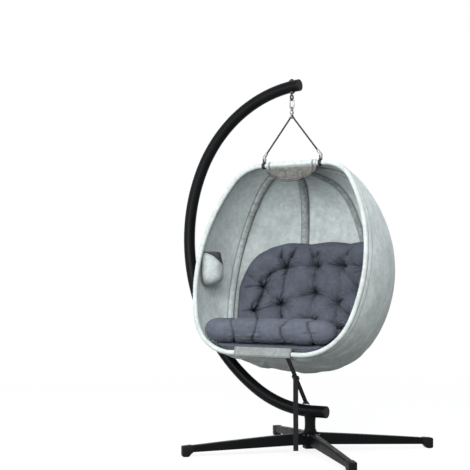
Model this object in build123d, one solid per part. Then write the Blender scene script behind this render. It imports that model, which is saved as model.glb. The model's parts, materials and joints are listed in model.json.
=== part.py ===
from build123d import *
from math import acos, asin, atan2, cos, degrees, hypot, radians, sin, sqrt, tan
import os

# Hanging pod chair on a C-shaped stand. Millimetres, +Z up, the pod faces -Y,
# the arm of the stand bulges towards -X. Everything is drawn about the post's
# axis and moved at the end, so that the origin is under the middle of the whole.

running_gap = 0.3          # between parts that may rub
seat_gap = 0.2             # between fitted parts of one body
overrun = 20.0             # cutters run past what they cut

# stand
leg_reach = 662.0          # post axis to the middle of a foot pad
leg_angles_shares = (45, 135, 225, 315)
leg_width = 38.0
leg_root_height = 62.0
leg_tip_height = 31.0
leg_wall = 2.0
leg_root_low = 41.0        # floor to the underside at the hub
leg_tip_low = 21.0
leg_edge_radius = 6.0
foot_length = 80.0
foot_wall = 3.5
foot_round = 9.0
foot_pad_drop = 3.0
hub_side = 68.0
hub_low = 22.0
hub_height = 86.0
hub_wall = 5.0
hub_corner = 8.0
flange_thickness = 5.0
flange_margin = 6.0
flange_width = 60.0
bolt_head_width = 10.0
bolt_head_height = 5.5
post_collar_radius = 33.0
post_collar_height = 9.0
post_waist_radius = 28.0
post_flare_radius = 32.5
tube_diameter = 63.0
tube_wall = 2.2
stub_height = 213.0        # axis of the lower tube over the floor
stub_reach = 100.0         # end of the lower tube beyond the post axis
bend_start = 15.0          # where the lower bend leaves the straight stub
low_bend_radius = 620.0
low_bend_turn = 33.0
side_bend_radius = 975.0
side_bend_turn = 57.0
joint_turn = 9.6           # from the bulge up to the tube joint
rise_bend_radius = 908.0
rise_bend_turn = 24.9
top_bend_radius = 737.0
top_bend_turn = 61.2
spigot_turn = 3.6
cap_length = 9.0
cap_plug = 24.0
cap_round = 4.0
plug_gap = 0.6
anchor_back = 24.0         # strap anchor, from the post axis towards the arm
anchor_wire = 5.0
anchor_width = 36.0
anchor_rise = 11.0

# hanging gear
hang_offset = 105.0        # hanging line from the post axis, towards the arm
eye_wire = 9.0
eye_radius = 14.0
eye_shank = 10.0
eye_nut_width = 19.0
eye_nut_height = 6.6
eye_collar_width = 30.0
eye_collar_height = 5.0
eye_neck = 4.0
hook_wire = 8.0
hook_bend_radius = 11.0
hook_length = 54.0
gate_pivot_rise = 4.6      # over the lower end of the straight side
gate_length = 25.0
gate_slot = 3.2
gate_pin_diameter = 2.5
pin_gap = 0.1
tang_radius = 3.2
swivel_ring_radius = 10.5
swivel_wire = 7.0
barrel_radius = 11.0
barrel_height = 12.0
barrel_wall = 3.0
swivel_gap = 1.0
swivel_pin_radius = 4.0
swivel_head_radius = 6.5
swivel_head_height = 3.0
rope_diameter = 10.0
ferrule_diameter = 16.0
ferrule_length = 26.0
shackle_cheek = 4.0
shackle_width = 14.0
shackle_rise = 14.0
shackle_bridge = 7.0
shackle_pin_diameter = 8.0
fitting_spread = 171.0     # middle of the pod to each hanging fitting
lug_height = 25.5          # hoop axis up to the pin
lug_thickness = 8.0
lug_width = 14.0
fitting_ring_wall = 4.5
fitting_ring_length = 18.0

# pod frame: closed front hoop and four ribs, each a D of straight ends and arcs
pin_height = 1542.0        # pivot of the pod over the floor
rim_tilt = 16.0            # the hoop's foot stands forward of its head
hoop_height = 1032.0
hoop_tube = 19.0
hoop_wall = 1.5
rib_tube = 16.0
rib_wall = 1.2
rib_turns_shares = (-54, -18, 18, 54)
front_reach = 500.0
outer_rib_reach = 602.0
inner_rib_reach = 668.0
front_shoulder_radius = 196.0
outer_shoulder_radius = 280.0
inner_shoulder_radius = 300.0
front_corner_radius = 265.0
outer_corner_radius = 372.0
inner_corner_radius = 320.0
front_turns_shares = (56.7, 72.0)
outer_turns_shares = (46.0, 70.0)
inner_turns_shares = (46.0, 68.0)
fan_setback = 10.5         # ribs and shell fan out from a line behind the hoop
rib_hub_radius = 42.0
hub_edge_round = 3.0
shell_thickness = 3.5
shell_mouth = 34.0

# fabric parts
sleeve_wall = 3.2
rib_sleeve_width = 42.0
rib_sleeve_wall = 1.6
rib_sleeve_drop = 6.5      # its edges bend away from the rib with the shell
rib_sleeve_start = 70.0
cover_length = 294.0
cover_wall = 6.5
bib_depth = 62.0
bib_half_width = 128.0
bib_thickness = 8.0
flap_length = 334.0
flap_shift = -11.0         # from the pod's middle to the flap's middle
flap_wall = 2.4
flap_rise = 30.0           # panel over and under the hoop's foot
flap_drop = 19.0
pocket_half_width = 76.0
pocket_depth = 80.0
pocket_wall = 3.0
pocket_low = 870.0
pocket_top = 1058.0
pocket_forward = 36.0      # its middle stands forward of the hanging line
pocket_collar = 34.0
mesh_wall = 2.0

# cushion
seat_top = 648.0
seat_crown_radius = 2400.0
cushion_offset = 13.5      # back cushion from a rib's axis
seat_offset = 10.5         # seat cushion from a rib's axis
roll_radius = 60.0
roll_height = 640.0
roll_forward = 246.0
roll_creases = (-385.0, -196.0, -62.0, 110.0, 262.0, 385.0)
roll_pinch = 7.0
roll_taper = 92.0
roll_end_radius = 9.0
back_turns_shares = (-51, -44, -27, 0, 27, 44, 51)     # round the fan
back_top_shares = (0.58, 0.86, 0.99, 1.0, 0.99, 0.86, 0.58)
back_thick_shares = (0.40, 0.72, 1.0, 1.0, 1.0, 0.72, 0.40)
back_low = 628.0
back_high = 1110.0
back_thickness = 104.0
tuft_radius = 50.0
tuft_depth = 15.0
tuft_turns_shares = (-34, 0, 34)
tuft_levels = (750.0, 850.0, 950.0)

# tether
strap_width = 26.0
strap_thickness = 2.6
strap_side = 145.0         # middle of the pod to the strap's upper end
slider_share = 0.42        # of the way down the strap
slider_height = 24.0
slider_depth = 9.0
slider_margin = 5.0
tail_foot = 30.0           # floor to the end of the tail

tube_radius = tube_diameter / 2
hang_x = -hang_offset


# The arm's axis lies in the XZ plane.
def arm_point(centre, radius, angle):
    return (centre[0] + radius * cos(radians(angle)), 0, centre[1] + radius * sin(radians(angle)))


low_centre = (bend_start, stub_height + low_bend_radius)
turn_in = 270 - low_bend_turn
low_end = arm_point(low_centre, low_bend_radius, turn_in)
side_centre = (low_end[0] - side_bend_radius * cos(radians(turn_in)),
               low_end[2] - side_bend_radius * sin(radians(turn_in)))
bulge = arm_point(side_centre, side_bend_radius, turn_in - side_bend_turn)
rise_centre = (bulge[0] + rise_bend_radius, bulge[2])
joint_point = arm_point(rise_centre, rise_bend_radius, 180 - joint_turn)
rise_end = arm_point(rise_centre, rise_bend_radius, 180 - rise_bend_turn)
top_start = 180 - rise_bend_turn
top_centre = (rise_end[0] - top_bend_radius * cos(radians(top_start)),
              rise_end[2] - top_bend_radius * sin(radians(top_start)))
tip_point = arm_point(top_centre, top_bend_radius, top_start - top_bend_turn)
arm_over_eye = top_centre[1] + sqrt(top_bend_radius ** 2 - (hang_x - top_centre[0]) ** 2)


def arm_arc(centre, radius, first, last):
    middle = arm_point(centre, radius, (first + last) / 2)
    return ThreePointArc(arm_point(centre, radius, first), middle, arm_point(centre, radius, last))


def swept(profile, path):
    return sweep(Plane(origin=path @ 0, z_dir=path % 0) * profile, path=path)


def ring_profile(outer, inner):
    return Circle(outer) - Circle(inner)


def cylinder_on(point, direction, radius, length):
    """A rod that starts at the point."""
    return extrude(Plane(origin=point, z_dir=direction) * Circle(radius), length)


def lower_arm():
    straight = Line((stub_reach - cap_length, 0, stub_height), (bend_start, 0, stub_height))
    path = Wire([straight.edge(), arm_arc(low_centre, low_bend_radius, 270, turn_in).edge(),
                 arm_arc(side_centre, side_bend_radius, turn_in, turn_in - side_bend_turn).edge(),
                 arm_arc(rise_centre, rise_bend_radius, 180, 180 - joint_turn).edge()])
    return swept(ring_profile(tube_radius, tube_radius - tube_wall), path)


def upper_arm():
    start = 180 - joint_turn - degrees(seat_gap / rise_bend_radius)
    path = Wire([arm_arc(rise_centre, rise_bend_radius, start, top_start).edge(),
                 arm_arc(top_centre, top_bend_radius, top_start, top_start - top_bend_turn).edge()])
    tube = swept(ring_profile(tube_radius, tube_radius - tube_wall), path)
    bolt_hole = cylinder_on((hang_x, 0, arm_over_eye - tube_diameter), (0, 0, 1),
                            eye_shank / 2 + seat_gap, 2 * tube_diameter)
    return tube - bolt_hole


def arm_spigot():
    """The short tube inside the joint of the two arm tubes."""
    radius = tube_radius - tube_wall - seat_gap
    path = Wire([arm_arc(rise_centre, rise_bend_radius, 180 - joint_turn + spigot_turn,
                         180 - joint_turn - spigot_turn).edge()])
    return swept(ring_profile(radius, radius - tube_wall), path)


def tube_cap(end, direction):
    """Domed end cap, its plug inside the tube."""
    plug_radius = tube_radius - tube_wall - plug_gap
    dome = cylinder_on(end, direction, tube_radius, cap_length)
    rim = dome.edges().filter_by(GeomType.CIRCLE).sort_by(Axis(end, direction))[-1]
    dome = fillet(rim, cap_round)
    back = tuple(-value for value in direction)
    return dome + cylinder_on(end, back, plug_radius, cap_plug)


def hub():
    body = extrude(Rectangle(hub_side, hub_side), hub_height)
    body = chamfer(body.edges().filter_by(Axis.Z), hub_corner)
    room = extrude(Rectangle(hub_side - 2 * hub_wall, hub_side - 2 * hub_wall), hub_height - hub_wall)
    room = chamfer(room.edges().filter_by(Axis.Z), hub_corner - hub_wall / 2)
    body = body - Pos(0, 0, -overrun) * room - room
    return Pos(0, 0, hub_low) * Rot(0, 0, leg_angles_shares[0]) * body


hub_top = hub_low + hub_height


def post():
    top = stub_height
    base = hub_top + seat_gap
    waist = (base + stub_height - tube_radius) / 2
    outline = [(0, base), (post_collar_radius, base), (post_collar_radius, base + post_collar_height)]
    side = Spline((post_collar_radius - flange_margin / 2, base + post_collar_height),
                  (post_waist_radius, waist), (post_flare_radius, stub_height - tube_radius / 2))
    edges = [Line(outline[0], outline[1]), Line(outline[1], outline[2]),
             Line(outline[2], side @ 0), side,
             Line(side @ 1, (post_flare_radius, top)), Line((post_flare_radius, top), (0, top)),
             Line((0, top), outline[0])]
    profile = make_face(Wire([edge.edge() for edge in edges]))
    body = revolve(Plane.XZ * profile, Axis.Z)
    saddle = cylinder_on((-tube_diameter, 0, stub_height), (1, 0, 0), tube_radius + seat_gap,
                         2 * tube_diameter + overrun)
    above = Pos(0, 0, top + tube_radius) * Box(2 * tube_diameter, 2 * tube_diameter, tube_diameter)
    bend = swept(Circle(tube_radius + seat_gap),
                 Wire([arm_arc(low_centre, low_bend_radius, 270, turn_in).edge()]))
    pieces = (body - saddle - bend - above).solids().sort_by(Axis.Z)
    return pieces[0]


leg_start = hub_side / 2 + seat_gap


def leg_outline(inset, root_x, tip_x):
    root_mid = leg_root_low + leg_root_height / 2
    tip_mid = leg_tip_low + leg_tip_height / 2
    top = Spline((root_x, root_mid + leg_root_height / 2 - inset),
                 ((root_x + tip_x) / 2, (root_mid + tip_mid) / 2
                  + (leg_root_height + leg_tip_height) / 4 + leg_wall - inset),
                 (tip_x, tip_mid + leg_tip_height / 2 - inset))
    low = Line((root_x, leg_root_low + inset), (tip_x, leg_tip_low + inset))
    return make_face(Wire([top.edge(), Line(top @ 1, low @ 1).edge(), low.edge(), Line(low @ 0, top @ 0).edge()]))


leg_end = leg_reach + foot_length / 4 - foot_wall - running_gap


def leg():
    """One tapered box-section leg with its root flange, along +X."""
    body = extrude(Plane.XZ * leg_outline(0, leg_start, leg_end), leg_width / 2, both=True)
    body = fillet(body.edges().filter_by(lambda e: abs((e % 0).X) > abs((e % 0).Z) * 2
                                         and abs((e % 0).X) > abs((e % 0).Y) * 2), leg_edge_radius)
    bore = extrude(Plane.XZ * leg_outline(leg_wall, leg_start + flange_thickness, leg_end + overrun),
                   leg_width / 2 - leg_wall, both=True)
    flange = Pos(leg_start + flange_thickness / 2, 0, leg_root_low + leg_root_height / 2) * Box(
        flange_thickness, flange_width, leg_root_height + flange_margin)
    return body + flange - bore


def foot():
    """Moulded end cap that wraps the leg's end and stands on the floor."""
    tip = leg_reach + foot_length / 4
    heel = tip - foot_length
    high = leg_tip_low + leg_tip_height + foot_wall
    width = leg_width + 2 * foot_wall
    side = [(heel, leg_tip_low - foot_pad_drop), (heel + foot_length / 4, 0), (tip - foot_round, 0),
            (tip, foot_round), (tip, high - foot_length / 4), (tip - foot_length / 4, high - foot_wall),
            (heel, high + (leg_root_height - leg_tip_height) * foot_length / leg_reach)]
    body = extrude(Plane.XZ * make_face(Polyline(side + [side[0]])), width / 2, both=True)
    body = fillet(body.edges().filter_by(Axis.Y).sort_by(Axis.X)[-4:], foot_round / 2)
    socket = extrude(Plane.XZ * leg_outline(-seat_gap, leg_start, leg_end + seat_gap),
                     leg_width / 2 + seat_gap, both=True)
    return body - socket


def bolt_head(point, direction):
    return extrude(Plane(origin=point, z_dir=direction) * RegularPolygon(bolt_head_width / 2, 6),
                   bolt_head_height)


def leg_bolts():
    heads = []
    x = leg_start + flange_thickness + seat_gap
    side = (flange_width + leg_width) / 4
    z = leg_root_low + leg_root_height - bolt_head_width
    for angle in leg_angles_shares:
        for way in (-1, 1):
            heads.append(Rot(0, 0, angle) * bolt_head((x, way * side, z), (1, 0, 0)))
    return heads


def strap_anchor():
    """Welded wire loop on the lower tube that holds the foot of the tether."""
    top = stub_height + tube_radius + anchor_rise
    half = anchor_width / 2
    foot_z = stub_height + tube_radius - anchor_wire
    path = FilletPolyline((-anchor_back - half, 0, foot_z), (-anchor_back - half, 0, top),
                          (-anchor_back + half, 0, top), (-anchor_back + half, 0, foot_z),
                          radius=anchor_wire)
    loop = swept(Circle(anchor_wire / 2), Wire(path.edges()))
    tube = cylinder_on((bend_start - seat_gap, 0, stub_height), (1, 0, 0), tube_radius + seat_gap,
                       2 * anchor_width)
    bend = swept(Circle(tube_radius + seat_gap),
                 Wire([arm_arc(low_centre, low_bend_radius, 270, turn_in).edge()]))
    return (loop - tube - bend).solids().sort_by(Axis.Z)[-1]


# Heights down the hanging gear.
arm_underside = arm_over_eye - tube_radius
eye_centre = arm_underside - eye_collar_height - eye_neck - eye_radius - eye_wire / 2
eye_low = eye_centre - eye_radius
hook_high = eye_low + (eye_wire + hook_wire) / 2 + running_gap
hook_low = hook_high - hook_length
swivel_high = hook_low + (hook_wire + swivel_wire) / 2 + running_gap
upper_ring_centre = swivel_high - swivel_ring_radius
barrel_top = upper_ring_centre - swivel_ring_radius - swivel_wire / 4
barrel_low = barrel_top - barrel_height
lower_ring_high = barrel_low - swivel_gap - swivel_wire / 2
lower_ring_centre = lower_ring_high - swivel_ring_radius
rope_wire_height = lower_ring_centre - swivel_ring_radius
rope_bend = (swivel_wire + rope_diameter) / 2 + running_gap


def torus_at(height, major, wire):
    """A ring in the YZ plane on the hanging line."""
    return Pos(hang_x, 0, height) * Rot(0, 90, 0) * Torus(major, wire / 2)


def saddle_washer(side):
    """Round washer shaped to the arm tube, over (1) or under (-1) it."""
    height = eye_collar_height if side < 0 else eye_collar_height / 2
    reach = tube_radius + height
    centre = arm_over_eye
    body = cylinder_on((hang_x, 0, centre), (0, 0, side), eye_collar_width / 2, reach)
    shank = cylinder_on((hang_x, 0, centre - tube_diameter), (0, 0, 1), eye_shank / 2 + seat_gap,
                        2 * tube_diameter)
    arm = swept(Circle(tube_radius + seat_gap),
                Wire([arm_arc(top_centre, top_bend_radius, top_start, top_start - top_bend_turn).edge()]))
    return (body - arm - shank).solids().sort_by(Axis.Z)[-1 if side > 0 else 0]


nut_seat = arm_over_eye + tube_radius + eye_collar_height / 2


def eye_bolt():
    ring = torus_at(eye_centre, eye_radius, eye_wire)
    shank_low = eye_centre + eye_radius
    shank = cylinder_on((hang_x, 0, shank_low), (0, 0, 1), eye_shank / 2,
                        nut_seat + eye_nut_height / 2 - shank_low)
    return ring + shank


def eye_nut():
    body = extrude(Pos(hang_x, 0, nut_seat) * RegularPolygon(eye_nut_width / 2, 6),
                   eye_nut_height * 2 / 3)
    dome = Pos(hang_x, 0, nut_seat + eye_nut_height * 2 / 3) * Cylinder(
        eye_nut_width * 2 / 5, eye_nut_height / 3, align=(Align.CENTER, Align.CENTER, Align.MIN))
    dome = fillet(dome.edges().sort_by(Axis.Z)[-1], eye_nut_height / 4)
    hole = cylinder_on((hang_x, 0, nut_seat - overrun), (0, 0, 1), eye_shank / 2 + pin_gap,
                       overrun + eye_nut_height / 2 + seat_gap)
    return body + dome - hole


gate_x = hang_x + hook_bend_radius
gate_pivot = (gate_x, 0, hook_low + hook_bend_radius + gate_pivot_rise)
gate_foot = hook_wire / 2 + running_gap


def carabiner():
    """Wire snap hook, open on its gate side, with the tang that carries the gate."""
    high = hook_high - hook_bend_radius
    low = hook_low + hook_bend_radius
    left = hang_x - hook_bend_radius
    gate_top = gate_pivot[2] + gate_length + 2 * running_gap
    arc_high = ThreePointArc((gate_x, 0, high), (hang_x, 0, hook_high), (left, 0, high))
    arc_low = ThreePointArc((left, 0, low), (hang_x, 0, hook_low), (gate_x, 0, low))
    path = Wire([Line((gate_x, 0, gate_top), (gate_x, 0, high)).edge(), arc_high.edge(),
                 Line((left, 0, high), (left, 0, low)).edge(), arc_low.edge(),
                 Line((gate_x, 0, low), (gate_x, 0, gate_pivot[2] - gate_foot)).edge()])
    body = swept(Circle(hook_wire / 2), path)
    tang_width = gate_slot - 2 * running_gap
    tang = Plane(origin=(gate_x, -tang_width / 2, gate_pivot[2]), z_dir=(0, 1, 0)) * Cylinder(
        tang_radius, tang_width, align=(Align.CENTER, Align.CENTER, Align.MIN))
    neck = Pos(gate_x, 0, gate_pivot[2] - gate_foot / 2) * Box(
        tang_radius, tang_width, gate_foot)
    hole = Pos(*gate_pivot) * Rot(90, 0, 0) * Cylinder(gate_pin_diameter / 2 + pin_gap, hook_wire)
    return body + tang + neck - hole


def carabiner_gate():
    """Sprung gate with its pivot pin, closed against the hook's nose."""
    radius = hook_wire / 2
    rod = cylinder_on(gate_pivot, (0, 0, 1), radius, gate_length)
    heel = Pos(*gate_pivot) * Rot(90, 0, 0) * Cylinder(radius, hook_wire)
    round_rod = cylinder_on((gate_x, 0, gate_pivot[2] - radius), (0, 0, 1), radius, gate_length)
    heel = heel & round_rod
    slot = Pos(gate_x, 0, gate_pivot[2]) * Box(2 * hook_wire, gate_slot, 2 * (tang_radius + running_gap))
    slot_low = Pos(gate_x, 0, gate_pivot[2] - hook_wire / 2) * Box(2 * hook_wire, gate_slot, hook_wire)
    pin = Pos(*gate_pivot) * Rot(90, 0, 0) * Cylinder(gate_pin_diameter / 2, hook_wire - hook_wire / 8)
    return rod + heel - slot - slot_low + pin


def swivel_top():
    """Upper ring and the barrel that holds the turning pin."""
    ring = torus_at(upper_ring_centre, swivel_ring_radius, swivel_wire)
    barrel = cylinder_on((hang_x, 0, barrel_low), (0, 0, 1), barrel_radius, barrel_height)
    barrel = fillet(barrel.edges().filter_by(GeomType.CIRCLE), barrel_wall / 2)
    room_low = barrel_low + barrel_wall
    room = cylinder_on((hang_x, 0, room_low), (0, 0, 1), swivel_head_radius + running_gap,
                       swivel_head_height + 2 * running_gap)
    bore = cylinder_on((hang_x, 0, barrel_low - overrun), (0, 0, 1), swivel_pin_radius + pin_gap,
                       overrun + barrel_wall + running_gap)
    return ring + barrel - room - bore


def swivel_bottom():
    """Turning pin with its head inside the barrel, and the rope's ring."""
    ring = torus_at(lower_ring_centre, swivel_ring_radius, swivel_wire)
    head_low = barrel_low + barrel_wall + running_gap
    pin = cylinder_on((hang_x, 0, lower_ring_high), (0, 0, 1), swivel_pin_radius,
                      head_low - lower_ring_high)
    head = cylinder_on((hang_x, 0, head_low), (0, 0, 1), swivel_head_radius, swivel_head_height)
    collar = cylinder_on((hang_x, 0, lower_ring_high - swivel_wire / 4), (0, 0, 1),
                         barrel_radius - barrel_wall, swivel_wire / 4 + swivel_wire / 2)
    return ring + pin + head + collar


# The rope leaves each ferrule straight and is tangent to the bend over the ring.
bridge_top = pin_height + shackle_rise + shackle_bridge
rope_drop = rope_wire_height - bridge_top
rope_span = hypot(fitting_spread, rope_drop)
rope_lean = degrees(atan2(fitting_spread, rope_drop) - asin(rope_bend / rope_span))


def rope_direction(side):
    return (-side * sin(radians(rope_lean)), 0, cos(radians(rope_lean)))


def rope_foot(side):
    start = (hang_x + side * fitting_spread, 0, bridge_top)
    way = rope_direction(side)
    return tuple(s + ferrule_length * w for s, w in zip(start, way))


def bend_point(angle):
    return (hang_x + rope_bend * cos(radians(angle)), 0,
            rope_wire_height + rope_bend * sin(radians(angle)))


def suspension_rope():
    right = bend_point(90 - (90 - rope_lean))
    left = bend_point(90 + (90 - rope_lean))
    path = Wire([Line(rope_foot(1), right).edge(),
                 ThreePointArc(right, bend_point(90), left).edge(),
                 Line(left, rope_foot(-1)).edge()])
    print("rope: radius over the ring", round(rope_bend, 1), "length", round(path.length, 1))
    return swept(Circle(rope_diameter / 2), path)


def rope_shackle(side):
    """Fork with its pin and the crimped ferrule at the foot of one rope leg."""
    x = hang_x + side * fitting_spread
    cheek = lug_thickness / 2 + running_gap + shackle_cheek / 2
    low = pin_height - shackle_width / 2
    height = shackle_rise + shackle_bridge + shackle_width / 2
    body = None
    for way in (-1, 1):
        plate = Pos(x + way * cheek, 0, low + height / 2) * Box(shackle_cheek, shackle_width, height)
        plate = fillet(plate.edges().filter_by(Axis.X).sort_by(Axis.Z)[:2], shackle_width / 2 - seat_gap)
        body = plate if body is None else body + plate
    width = 2 * cheek + shackle_cheek
    body += Pos(x, 0, bridge_top - shackle_bridge / 2) * Box(width, shackle_width, shackle_bridge)
    body += Pos(x, 0, pin_height) * Rot(0, 90, 0) * Cylinder(
        shackle_pin_diameter / 2, width + shackle_cheek)
    way = rope_direction(side)
    start = (x - way[0] * shackle_bridge / 2, 0, bridge_top - way[2] * shackle_bridge / 2)
    body += cylinder_on(start, way, ferrule_diameter / 2, ferrule_length + shackle_bridge / 2)
    return body


# Pod. Local X runs across, local Y down the hoop's plane, local Z to the back.
hoop_top = (hang_x, 0, pin_height - lug_height)
down = (0, -sin(radians(rim_tilt)), -cos(radians(rim_tilt)))
back = (0, cos(radians(rim_tilt)), -sin(radians(rim_tilt)))
rim_plane = Plane(origin=hoop_top, x_dir=(1, 0, 0), z_dir=back)
fan_origin = tuple(h + fan_setback * b for h, b in zip(hoop_top, back))


def fan_plane(turn):
    """Plane of a rib: local X from the fan's axis outwards, local Y down the axis."""
    out = (sin(radians(turn)), cos(radians(turn)) * back[1], cos(radians(turn)) * back[2])
    normal = Vector(*out).cross(Vector(*down))
    return Plane(origin=fan_origin, x_dir=out, z_dir=normal)


def d_shape(reach, shoulder_radius, corner_radius, turns_shares):
    """Radius of the side and length of the straight head of one D."""
    shoulder, corner = turns_shares
    rest = (hoop_height - shoulder_radius * (1 - cos(radians(shoulder)))
            - corner_radius * (1 - cos(radians(corner))))
    side_radius = rest / (cos(radians(shoulder)) + cos(radians(corner)))
    head = reach - shoulder_radius * sin(radians(shoulder)) - side_radius * (1 - sin(radians(shoulder)))
    return side_radius, head


front_d = (front_reach, front_shoulder_radius, front_corner_radius, front_turns_shares)
outer_d = (outer_rib_reach, outer_shoulder_radius, outer_corner_radius, outer_turns_shares)
inner_d = (inner_rib_reach, inner_shoulder_radius, inner_corner_radius, inner_turns_shares)


def d_edges(d, start, offset=0.0):
    """Half a D from its head to its foot, the offset to the outside."""
    shoulder, corner = d[3]
    side_radius, head = d_shape(*d)
    edges = [Line((start, -offset), (head, -offset))]
    bends = ((d[1], shoulder), (side_radius, 180 - shoulder - corner), (d[2], corner))
    for radius, turn in bends:
        last = edges[-1]
        edges.append(JernArc(last @ 1, last % 1, radius + offset, turn))
    end = edges[-1] @ 1
    edges.append(Line(end, (start, hoop_height + offset)))
    return [edge.edge() for edge in edges]


def rib_d(turn):
    return inner_d if abs(turn) < abs(rib_turns_shares[0]) else outer_d


def hoop_path():
    right = d_edges(front_d, 0)
    left = [edge.mirror(Plane.YZ) for edge in right]
    return rim_plane * Wire(right + left)


def hoop_ring(outer, inner):
    path = hoop_path()
    start = path @ 0
    plane = Plane(origin=start, z_dir=path % 0)
    solid = sweep(plane * Circle(outer), path=path)
    if inner:
        solid = solid - sweep(plane * Circle(inner), path=path)
    return solid


def rib(turn):
    start = rib_hub_radius + seat_gap
    path = fan_plane(turn) * Wire(d_edges(rib_d(turn), start))
    return swept(ring_profile(rib_tube / 2, rib_tube / 2 - rib_wall), path)


shell_inside = rib_tube / 2 + running_gap
shell_outside = shell_inside + shell_thickness
sleeve_radius = hoop_tube / 2 + running_gap + sleeve_wall


def shell_section(turn, d):
    outer = d_edges(d, shell_mouth, shell_outside)
    inner = d_edges(d, shell_mouth, shell_inside)
    ends = [Line(outer[-1] @ 1, inner[-1] @ 1).edge(), Line(inner[0] @ 0, outer[0] @ 0).edge()]
    return fan_plane(turn) * make_face(Wire(outer + ends + inner))


def shell():
    """Fabric shell, stretched from the hoop over the four ribs."""
    sections = [shell_section(-90, front_d)]
    sections += [shell_section(turn, rib_d(turn)) for turn in rib_turns_shares]
    sections += [shell_section(90, front_d)]
    return loft(sections)


def rib_hub(level):
    """Half disc that the ribs' ends are set in, behind the hoop's straight part."""
    disc = Cylinder(rib_hub_radius, rib_tube)
    disc = fillet(disc.edges().filter_by(GeomType.CIRCLE), hub_edge_round)
    front = sleeve_radius + running_gap - fan_setback
    cutter = Pos(0, 0, front - rib_hub_radius) * Box(4 * rib_hub_radius, 4 * rib_hub_radius,
                                                     2 * rib_hub_radius)
    return rim_plane * (Pos(0, level, fan_setback) * (Rot(90, 0, 0) * disc - cutter))


def rib_sleeve(turn):
    """Strip of cloth sewn to the shell on both sides of a rib."""
    wing = rib_sleeve_width / 2
    top = shell_inside - running_gap
    low = top - rib_sleeve_drop
    bore = rib_tube / 2 + seat_gap
    hump = bore + rib_sleeve_wall
    foot_half = sqrt(hump ** 2 - low ** 2)
    slot_half = sqrt(bore ** 2 - low ** 2)
    outline = Wire([Line((wing, top), (wing, low)).edge(), Line((wing, low), (foot_half, low)).edge(),
                    ThreePointArc((foot_half, low), (0, -hump), (-foot_half, low)).edge(),
                    Line((-foot_half, low), (-wing, low)).edge(), Line((-wing, low), (-wing, top)).edge(),
                    Line((-wing, top), (-slot_half, top)).edge(),
                    Line((-slot_half, top), (-slot_half, low)).edge(),
                    ThreePointArc((-slot_half, low), (0, -bore), (slot_half, low)).edge(),
                    Line((slot_half, low), (slot_half, top)).edge(),
                    Line((slot_half, top), (wing, top)).edge()])
    plane = fan_plane(turn)
    path = plane * Wire(d_edges(rib_d(turn), rib_sleeve_start))
    section = Plane(origin=path @ 0, x_dir=plane.z_dir, z_dir=path % 0)
    return sweep(section * make_face(outline), path=path) & pod_room(top)


# Room for the shell's front edge, and what is behind it, at the hoop's head.
def edge_room(length):
    front = fan_setback - running_gap
    height = shell_outside + running_gap
    return rim_plane * Pos(0, overrun - height, front + overrun) * Box(length, 2 * overrun, 2 * overrun)


def bar_fitting(side):
    """Clamp round the hoop's head with the lug that the shackle pin goes through."""
    x = hang_x + side * fitting_spread
    centre = (x, 0, hoop_top[2])
    outer = sleeve_radius + running_gap + fitting_ring_wall
    ring = Pos(*centre) * Rot(0, 90, 0) * Cylinder(outer, fitting_ring_length)
    ring = fillet(ring.edges().filter_by(GeomType.CIRCLE), fitting_ring_wall / 3)
    lug = Pos(x, 0, hoop_top[2] + lug_height / 2) * Box(lug_thickness, lug_width, lug_height)
    lug += Pos(x, 0, pin_height) * Rot(0, 90, 0) * Cylinder(lug_width / 2, lug_thickness)
    bore = Pos(*centre) * Rot(0, 90, 0) * Cylinder(sleeve_radius + running_gap, 2 * fitting_ring_length)
    hole = Pos(x, 0, pin_height) * Rot(0, 90, 0) * Cylinder(
        shackle_pin_diameter / 2 + pin_gap, 2 * fitting_ring_length)
    room = Pos(side * fitting_spread, 0, 0) * edge_room(2 * fitting_ring_length)
    return ring - room + lug - bore - hole


def head_cover():
    """Padded roll round the hoop's head, between the two fittings."""
    outer = sleeve_radius + running_gap + cover_wall
    body = Pos(*hoop_top) * Rot(0, 90, 0) * Cylinder(outer, cover_length)
    body = fillet(body.edges().filter_by(GeomType.CIRCLE), cover_wall * 2 / 3)
    bore = Pos(*hoop_top) * Rot(0, 90, 0) * Cylinder(sleeve_radius + running_gap, 2 * cover_length)
    return body - bore - edge_room(2 * cover_length)


def head_bib():
    """Half-moon of quilted cloth that hangs from the cover in front of the rib hub."""
    top = sleeve_radius + running_gap + cover_wall / 2
    low = top + bib_depth
    face = make_face(Wire([Line((-bib_half_width, top), (bib_half_width, top)).edge(),
                           ThreePointArc((bib_half_width, top), (0, low), (-bib_half_width, top)).edge()]))
    body = extrude(face, bib_thickness / 2, both=True)
    body = fillet(body.edges().filter_by(GeomType.CIRCLE), bib_thickness / 2 - seat_gap)
    return rim_plane * body


# Cloth wrapped over the hoop's foot, with a panel along its front.
def bottom_flap():
    inner = sleeve_radius + running_gap
    outer = inner + flap_wall
    wrap = Pos(flap_shift, hoop_height, 0) * Rot(0, 90, 0) * (
        Cylinder(outer, flap_length) - Cylinder(inner, 2 * flap_length))
    open_back = Pos(flap_shift, hoop_height, 2 * outer) * Box(2 * flap_length, 4 * outer, 4 * outer - inner)
    panel = Pos(flap_shift, hoop_height + (flap_drop - flap_rise) / 2, -(inner + outer) / 2) * Box(
        flap_length, flap_rise + flap_drop, flap_wall)
    return rim_plane * (wrap - open_back + panel)


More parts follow.
